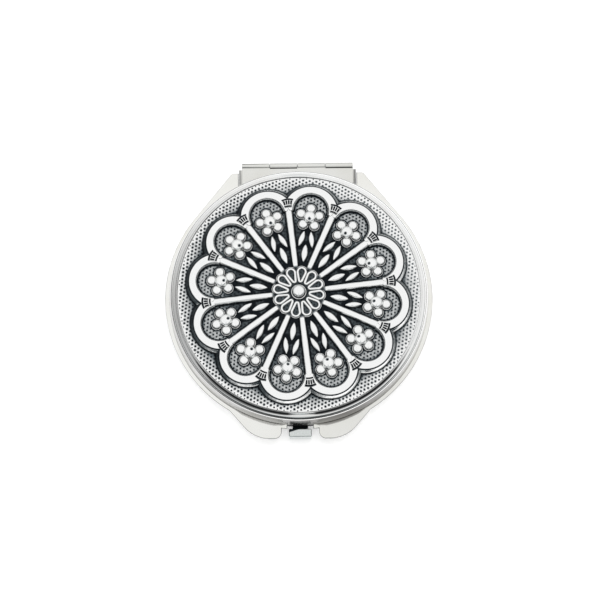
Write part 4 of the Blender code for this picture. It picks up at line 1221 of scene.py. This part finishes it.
def make_rim_ring():
    """Polished ring with two bands, round the medallion."""
    case = bpy.context.scene.mirror_case
    outer, bottom = high("lid_rim_ring").x, low("lid_rim_ring").z
    start, height = outer - case.rim_width, high("lid_rim_ring").z - bottom
    line = [(start + case.rim_width * a, bottom + height * b) for a, b in RIM_PROFILE]
    ring = lathe("lid_rim_turned", rounded_line(line, 3), case.turn_steps)
    groove, thinnest, thicker = start + 0.00052, 0.00007, 0.00042
    second_groove, second_half, second_end = start + 0.00098, 0.00015, 262
    streaks_start, streaks_end, fade, break_at, break_half = 205, 335, 20, 271, 6

    # Painted reflection: dark streaks along the grooves at the front, broken at 271 degrees, and a darker outer foot
    # at the front. The grooves also keep a little patina. The share named aged only marks the side away from the
    # upper right, and the ring is darker there and towards the left.
    def ring_painted_reflection(x, y, z, reach):
        front, aged = towards(x, y, 270), 1 - towards(x, y, 40)
        turn = np.degrees(np.arctan2(y, x)) % 360
        streaks = np.clip((turn - streaks_start) / fade, 0, 1) * np.clip((streaks_end - turn) / fade, 0, 1)
        broken = streaks * (1 - bell(turn, break_at, break_half, 4))
        level = np.minimum(1, 0.35 * aged + 1.1 * broken)
        first = level * bell(reach, groove, thinnest + thicker * front * broken, 4)
        left = np.clip((second_end - turn) / 16, 0, 1)
        second = 0.9 * streaks * left * bell(reach, second_groove, second_half)
        foot = (0.25 * aged + 0.75 * front**6) * (reach > outer - 0.0003)
        inner_foot = 0.4 * aged * (reach < start + 0.00006)
        cloudy = 0.1 * aged + 0.42 * towards(x, y, 195) ** 6 + 0.05 * towards(x, y, 350) ** 4
        return np.maximum.reduce([first, second, foot, inner_foot, cloudy])

    paint_oxide_and_shade(ring, ring_painted_reflection)
    finish_piece(ring, "polished", "lid", "lid_rim_ring")


def make_pan():
    """Drawn tray with a rounded lower edge and the button's window."""
    case = bpy.context.scene.mirror_case
    radius, top = high("base_pan").x, high("base_pan").z
    inner, gap, button_bottom = radius - case.sheet, case.slide_gap, low("push_button").z
    centre = (radius - case.pan_round, case.pan_round)
    inside = arc(centre, case.pan_round - case.sheet, -math.pi / 2, 0, 10)
    outside = arc(centre, case.pan_round, 0, -math.pi / 2, 14)
    profile = [(0, case.sheet), *inside, (inner, top), (radius, top), *outside, (0, 0)]
    pan = lathe("base_pan_drawn", profile, case.turn_steps)
    neck_half, past_wall, window_depth = 0.002, 0.001, 0.0023
    window = (-neck_half - gap, -radius - past_wall, button_bottom - gap)
    cut(pan, window, (neck_half + gap, -radius + window_depth, button_bottom + NECK_HEIGHT + gap))
    dark_half, dark_end = 0.0037, -0.0318

    # Painted shade: the pan's wall behind the button nearly black, where the recess lies in shade.
    def pan_painted_shade(x, y, z, reach):
        behind_button = (np.abs(x) < dark_half) & (y < dark_end)
        return 0.96 * (behind_button & (reach > inner - 0.0001))

    paint_oxide_and_shade(pan, pan_painted_shade)
    finish_piece(pan, "satin", "base", "base_pan")


def frame_outline(case):
    """Half of the frame's outline at +X, from the hinge notch to the button's recess."""
    pan = high("base_pan").x
    radius = pan + case.frame_flange
    notch_gap, shoulder_round = 0.00095, 0.0007
    notch = high("base_hinge_leaf").x + notch_gap
    rear, front = high("base_frame").y, low("base_frame").y
    shoulder = Vector((notch + case.shoulder_width, rear))
    tangent = math.atan2(shoulder.y, shoulder.x) - math.acos(radius / shoulder.length)
    inner_x = high("push_button").x + case.lobe_gap
    outer_x = inner_x + case.lobe_width
    lobe_start, lobe_end = (-math.acos(x / radius) for x in (outer_x + case.lobe_flank, inner_x))
    touches, leaves, meets = ((radius * math.cos(a), radius * math.sin(a)) for a in (tangent, lobe_start, lobe_end))
    outer_corner, inner_corner = (outer_x, front), (inner_x, front)
    recess = high("push_button").x + case.slide_gap
    points = arc((0, 0), pan, math.pi / 2, math.acos(notch / pan), 14)
    points.append((notch, rear))
    points += corner_round(points[-1], shoulder, touches, shoulder_round, 8)
    points += arc((0, 0), radius, tangent, lobe_start, 60)
    points += corner_round(leaves, outer_corner, inner_corner, case.lobe_round, 20)
    points += corner_round(outer_corner, inner_corner, (inner_x, meets[1]), case.lobe_inner_round, 12)
    points += arc((0, 0), radius, lobe_end, -math.acos(recess / radius), 3)
    points += arc((0, 0), pan, -math.acos(recess / pan), -math.pi / 2, 6)
    return points


def make_frame():
    """Flat stamping with rounded edges."""
    case = bpy.context.scene.mirror_case
    bottom, top = low("base_frame").z, high("base_frame").z
    right = frame_outline(case)
    left = [(-x, y) for x, y in reversed(right[1:-1])]
    hole = arc((0, 0), high("base_pan").x - case.sheet, 0, math.tau, case.turn_steps)[:-1]
    plate = slab("base_frame_stamped", [right + left, hole], bottom, top, case.frame_edge)

    # Painted shade and reflection: dark rounded edges as outlines, and a grey gradient towards the front right and
    # front left.
    def frame_painted_shade(x, y, z, reach):
        edge = 0.62 * ((z > bottom + 0.0001) & (z < top - 0.00008))
        return np.maximum(edge, 0.13 * towards(x, y, 300) ** 10 + 0.03 * towards(x, y, 240) ** 10)

    paint_oxide_and_shade(plate, frame_painted_shade)
    finish_piece(plate, "plated", "base", "base_frame")


def turned_bezel(name, outer, face, back, skirt):
    """A turned ring over a mirror's edge, with a rolled inner lip."""
    case = bpy.context.scene.mirror_case
    inner, sheet, roll = case.bezel_inner, case.bezel_sheet, (face - back) * 0.35
    profile = [
        (inner, back), (inner, face - roll), (inner + abs(roll), face), (outer, face), (outer, skirt),
        (outer - sheet, skirt), (outer - sheet, back),
    ]
    return lathe(name, profile, case.turn_steps)


def make_bezels():
    """Rings over the mirrors' edges, slotted for the latch."""
    case = bpy.context.scene.mirror_case
    sheet, catch_low, catch_high = case.bezel_sheet, low("lid_catch"), high("lid_catch")
    outer, bottom, top = high("base_mirror_bezel").x, low("base_mirror_bezel").z, high("base_mirror_bezel").z
    ring = turned_bezel("base_mirror_ring", outer, top, top - sheet, bottom)
    half, slot_end = catch_high.x + 0.0004, -0.029375
    slot = (-half, -high("base_pan").x, low("push_button").z + NECK_HEIGHT)
    cut(ring, slot, (half, slot_end, high("base_frame").z))
    finish_piece(ring, "satin", "base", "base_mirror_bezel")

    outer, bottom, top = high("lid_mirror_bezel").x, low("lid_mirror_bezel").z, high("lid_mirror_bezel").z
    ring = turned_bezel("lid_mirror_ring", outer, bottom, bottom + sheet, top)
    half, past, foot_room = catch_high.x + case.seat_gap, 0.001, 0.0007
    slot = (-half, -high("lid_shell").x, bottom - past)
    cut(ring, slot, (half, catch_low.y + foot_room, catch_high.z + past))
    finish_piece(ring, "satin", "lid", "lid_mirror_bezel")


def knuckle_row(body, first):
    """A leaf's bored knuckles with rounded rims, at every other place along the pin."""
    half = (KNUCKLE_PITCH - KNUCKLE_GAP) / 2
    rim = [(BORE, half - LEAF_EDGE), (BORE + LEAF_EDGE, half), (BARREL - LEAF_EDGE, half), (BARREL, half - LEAF_EDGE)]
    points, faces = lathe_data([(r, -z) for r, z in rim] + rim[::-1], 48)
    turn, place = Matrix.Rotation(math.pi / 2, 4, "Y"), Vector((0, HINGE_PLACE.y, HINGE_PLACE.z))
    row = mesh_object(f"{body}_knuckle_row", [turn @ Vector(p) + place for p in points], faces)
    start, step = KNUCKLE_PITCH * (first + 0.5) - HALF_HINGE, 2 * KNUCKLE_PITCH
    run_tree(row, row_tree(), copies=KNUCKLES // 2, start=start, step=step, material=finish_named("polished"))
    return row


def leaf_outline(body, first, seat, clear_y):
    """A hinge leaf's outline: its seat on the case, the base's tabs, and fingers under its own knuckles."""
    half, left_tab, right_tab = HALF_HINGE - KNUCKLE_GAP / 2, [], []
    corner, steps, finger_y = half, 24, HINGE_PLACE.y - (BORE + BARREL) / 2
    if body == "base":
        corner, steps, tab_end = HALF_HINGE + 0.00072, 28, HINGE_PLACE.y - 0.0009
        left_tab, right_tab = [(-corner, tab_end), (-half, tab_end)], [(half, tab_end), (corner, tab_end)]
    seat_end = math.acos(corner / seat)
    outline = arc((0, 0), seat, seat_end, math.pi - seat_end, steps) + left_tab
    for i in range(KNUCKLES):
        own = i % 2 == first
        left = KNUCKLE_PITCH * i + KNUCKLE_GAP / 2 - HALF_HINGE
        right = left + KNUCKLE_PITCH - KNUCKLE_GAP
        left -= 0 if own or i == 0 else KNUCKLE_GAP
        right += 0 if own or i == KNUCKLES - 1 else KNUCKLE_GAP
        outline += [(left, finger_y if own else clear_y), (right, finger_y if own else clear_y)]
    return outline + right_tab


def make_hinge_leaf(body, case_node, plate_bottom, first):
    """A flat leaf with rounded knuckles at every other place along the pin."""
    node = f"{body}_hinge_leaf"
    clear_y, plate_top = HINGE_PLACE.y - BARREL - KNUCKLE_GAP, plate_bottom + LEAF_SHEET
    row = knuckle_row(body, first)
    outline = leaf_outline(body, first, high(case_node).x + 0.0001, clear_y)
    leaf = slab(f"{node}_rounded", [outline], plate_bottom, plate_top, LEAF_EDGE)
    bm = bmesh.new()
    bm.from_mesh(leaf.data)
    bm.from_mesh(row.data)
    bm.to_mesh(leaf.data)
    bm.free()
    bpy.data.objects.remove(row, do_unlink=True)

    # Painted shade: the knuckles' rear darker, a dark line where the base leaf goes under the lid, and dark sides in
    # the gaps beside the leaves. Also dark joints between the knuckles and a faint overall tone.
    def hinge_painted_shade(x, y, z, reach):
        from_axis = (y - HINGE_PLACE.y) / BARREL
        rear = 0.5 * (from_axis > 0.62)
        if body == "base":
            behind_lid = (from_axis < -0.8) & (from_axis > -1.05)
            front = 0.9 * (behind_lid & (z > HINGE_PLACE.z - 0.0001))
            sides = (np.abs(x) > HALF_HINGE) * np.where(x > 0, 0.95, 0.75)
        else:
            under = z < plate_top - 0.00001
            front = 0.9 * (under & (np.abs(y - clear_y) < 0.00007))
            sides = 0.6 * (under & (np.abs(x) > HALF_HINGE - 0.00012))
        from_joint = np.abs((x + HALF_HINGE + KNUCKLE_PITCH / 2) % KNUCKLE_PITCH - KNUCKLE_PITCH / 2)
        ends = 0.8 * ((from_joint < 0.00009) & (np.abs(from_axis) < 1.01))
        return np.maximum.reduce([rear, front, sides, ends, np.full(len(x), 0.13)])

    paint_oxide_and_shade(leaf, hinge_painted_shade)
    finish_piece(leaf, "plated", body, node)


def make_hinge():
    """Leaves whose knuckles take turns along the pin."""
    gap = 0.00003
    make_hinge_leaf("base", "base_pan", low("base_hinge_leaf").z + gap, first=1)
    make_hinge_leaf("lid", "lid_shell", high("lid_hinge_leaf").z - gap - LEAF_SHEET, first=0)


def paint_carried_nodes():
    """Better materials for the nodes whose plain shape is right."""
    for look, nodes in CARRIED_LOOKS.items():
        for node in nodes:
            mesh = frame["nodes"][node].data
            mesh.materials.clear()
            mesh.materials.append(finish_named(look))


def sky_level(make, height, stops):
    """Brightness of the sky by the height of a direction, through a few stops."""
    ramp = make.node("ShaderNodeValToRGB", {"Fac": height})
    elements = ramp.color_ramp.elements
    elements[0].position, elements[1].position = stops[0][0], stops[-1][0]
    for place, _ in stops[1:-1]:
        elements.new(place)
    for element, (_, tone) in zip(elements, stops):
        element.color = (*tone, 1)
    return ramp.outputs["Color"]


def make_world(stage):
    """White sky that greys towards the horizon and is dark low in front, as polished edges reflect it."""
    world = bpy.data.worlds.new("studio")
    bpy.context.scene.world = world
    world.use_nodes = True
    world.node_tree.nodes.clear()
    make = NodeMaker(world.node_tree)
    parts = make.parts(make.node("ShaderNodeTexCoord").outputs["Generated"])
    around, front = (sky_level(make, parts["Z"], stops) for stops in (SKY_AROUND, SKY_IN_FRONT))
    window = make.spread(make.math("ABSOLUTE", parts["X"]), 0.05, 0.12, 1.0, 0.0)
    front = make.blend(window, front, (0.55, 0.58, 0.58))
    in_front = make.spread(parts["Y"], -0.6, -0.3, 1.0, 0.0)
    path = make.node("ShaderNodeLightPath").outputs
    reflected = make.blend(path["Is Glossy Ray"], (1, 1, 1), make.blend(in_front, around, front))
    matt = make.math("MULTIPLY", path["Is Diffuse Ray"], 1 - stage.world_light)
    sky = {"Color": reflected, "Strength": make.math("SUBTRACT", 1.0, matt)}
    make.node("ShaderNodeOutputWorld", {"Surface": make.first("ShaderNodeBackground", sky)})


def make_floor(stage):
    """Plain white floor that keeps the case's soft shadow, and is lit for the rays that see it."""
    half = 3.0
    corners = [(-half, -half, 0), (half, -half, 0), (half, half, 0), (-half, half, 0)]
    floor = raw_object("floor", corners, [[0, 1, 2, 3]])
    make = Surface("floor_white", metallic=0.0)
    path = make.node("ShaderNodeLightPath").outputs
    seen = make.math("MAXIMUM", path["Is Camera Ray"], path["Is Glossy Ray"])
    seen = make.math("MAXIMUM", seen, path["Is Transmission Ray"])
    floor.data.materials.append(make.shade({
        "Base Color": (0.9, 0.9, 0.9),
        "Roughness": 0.9,
        "Specular IOR Level": 0.0,
        "Emission Color": (1, 1, 1),
        "Emission Strength": make.math("MULTIPLY", seen, stage.floor_light),
    }))


def make_lamp(name, place, size, power):
    """A soft lamp for the matt surfaces: polished ones reflect the sky alone."""
    data = bpy.data.lights.new(name, "AREA")
    data.shape = "DISK"
    data.size = size
    data.energy = power
    lamp = new_object(name, data)
    lamp.location = place
    lamp.rotation_mode = "QUATERNION"
    lamp.rotation_quaternion = Vector(place).to_track_quat("Z", "Y")
    lamp.visible_glossy = False


def make_camera(stage):
    """Camera at the photograph's angle, aimed at the case."""
    elevation = stage.elevation
    back = Vector((0, -math.cos(elevation), math.sin(elevation)))
    right = Vector((1, 0, 0))
    up = Vector((0, math.sin(elevation), math.cos(elevation)))
    aim = Vector((0, 0, stage.aim_height)) + right * stage.aside - up * stage.down
    data = bpy.data.cameras.new("camera")
    data.sensor_width = 36.0
    data.lens = data.sensor_width * stage.distance / stage.view_width
    data.clip_start, data.clip_end = 0.01, 20
    camera = new_object("camera", data)
    camera.location = aim + back * stage.distance
    camera.rotation_mode = "QUATERNION"
    turn = Matrix.Rotation(-stage.roll, 3, "Z")
    camera.rotation_quaternion = (Matrix((right, up, back)).transposed() @ turn).to_quaternion()
    bpy.context.scene.camera = camera


class MIRROR_OT_stage(bpy.types.Operator):
    """Make the floor, the light and the camera"""

    bl_idname = "mirror.stage"
    bl_label = "Stage"

    def execute(self, context):
        stage = context.scene.mirror_stage
        make_world(stage)
        make_floor(stage)
        make_lamp("soft_lamp", place=(0.05, 0.15, 0.6), size=0.5, power=stage.lamp_power)
        make_camera(stage)
        context.scene.view_settings.view_transform = "Standard"
        return {"FINISHED"}


class MIRROR_OT_lid(bpy.types.Operator):
    """Make the lid's shell and its rim ring"""

    bl_idname = "mirror.lid"
    bl_label = "Lid"

    def execute(self, context):
        make_shell()
        make_rim_ring()
        return {"FINISHED"}


class MIRROR_OT_base(bpy.types.Operator):
    """Make the base's pan and its stamped frame"""

    bl_idname = "mirror.base"
    bl_label = "Base"

    def execute(self, context):
        make_pan()
        make_frame()
        return {"FINISHED"}


class MIRROR_OT_bezels(bpy.types.Operator):
    """Make the rings that hold the mirrors"""

    bl_idname = "mirror.bezels"
    bl_label = "Mirror rings"

    def execute(self, context):
        make_bezels()
        return {"FINISHED"}


class MIRROR_OT_hinge(bpy.types.Operator):
    """Make the hinge's leaves and knuckles"""

    bl_idname = "mirror.hinge"
    bl_label = "Hinge"

    def execute(self, context):
        make_hinge()
        return {"FINISHED"}


class MIRROR_OT_ground(bpy.types.Operator):
    """Make the medallion's stippled ground"""

    bl_idname = "mirror.ground"
    bl_label = "Medallion ground"

    def execute(self, context):
        make_ground()
        return {"FINISHED"}


class MIRROR_OT_tracery(bpy.types.Operator):
    """Make the medallion's arches, columns and capitals"""

    bl_idname = "mirror.tracery"
    bl_label = "Medallion tracery"

    def execute(self, context):
        make_arches()
        make_columns()
        make_capitals()
        return {"FINISHED"}


class MIRROR_OT_plants(bpy.types.Operator):
    """Make the medallion's flowers, leaves and rosette"""

    bl_idname = "mirror.plants"
    bl_label = "Medallion flowers"

    def execute(self, context):
        make_flowers()
        make_leaves()
        make_rosette()
        return {"FINISHED"}


class MIRROR_OT_carried(bpy.types.Operator):
    """Paint the frame's nodes whose plain shape is right"""

    bl_idname = "mirror.carried"
    bl_label = "Carried nodes"

    def execute(self, context):
        paint_carried_nodes()
        return {"FINISHED"}


STEPS = (
    MIRROR_OT_stage,
    MIRROR_OT_base,
    MIRROR_OT_bezels,
    MIRROR_OT_hinge,
    MIRROR_OT_lid,
    MIRROR_OT_ground,
    MIRROR_OT_tracery,
    MIRROR_OT_plants,
    MIRROR_OT_carried,
)

GROUPS = {
    "mirror_case": CaseSizes,
    "mirror_medallion": MedallionSizes,
    "mirror_colours": FinishColours,
    "mirror_stage": StageSettings,
}


class MIRROR_PT_panel(bpy.types.Panel):
    """Lists the steps that build the mirror"""

    bl_idname = "MIRROR_PT_panel"
    bl_label = "Pocket mirror"
    bl_space_type = "VIEW_3D"
    bl_region_type = "UI"
    bl_category = "Pocket mirror"

    def draw(self, context):
        for step in STEPS:
            self.layout.operator(step.bl_idname)
        for group in GROUPS:
            values = getattr(context.scene, group)
            box = self.layout.box()
            for name in values.bl_rna.properties.keys():
                if name not in ("rna_type", "name"):
                    box.prop(values, name)


def register():
    for cls in (*GROUPS.values(), *STEPS, MIRROR_PT_panel):
        bpy.utils.register_class(cls)
    for name, cls in GROUPS.items():
        setattr(bpy.types.Scene, name, bpy.props.PointerProperty(type=cls))


def unregister():
    for name in GROUPS:
        delattr(bpy.types.Scene, name)
    for cls in reversed((*GROUPS.values(), *STEPS, MIRROR_PT_panel)):
        bpy.utils.unregister_class(cls)


def main():
    register()
    for step in STEPS:
        getattr(bpy.ops.mirror, step.bl_idname.split(".")[1])()


if __name__ == "__main__":
    main()
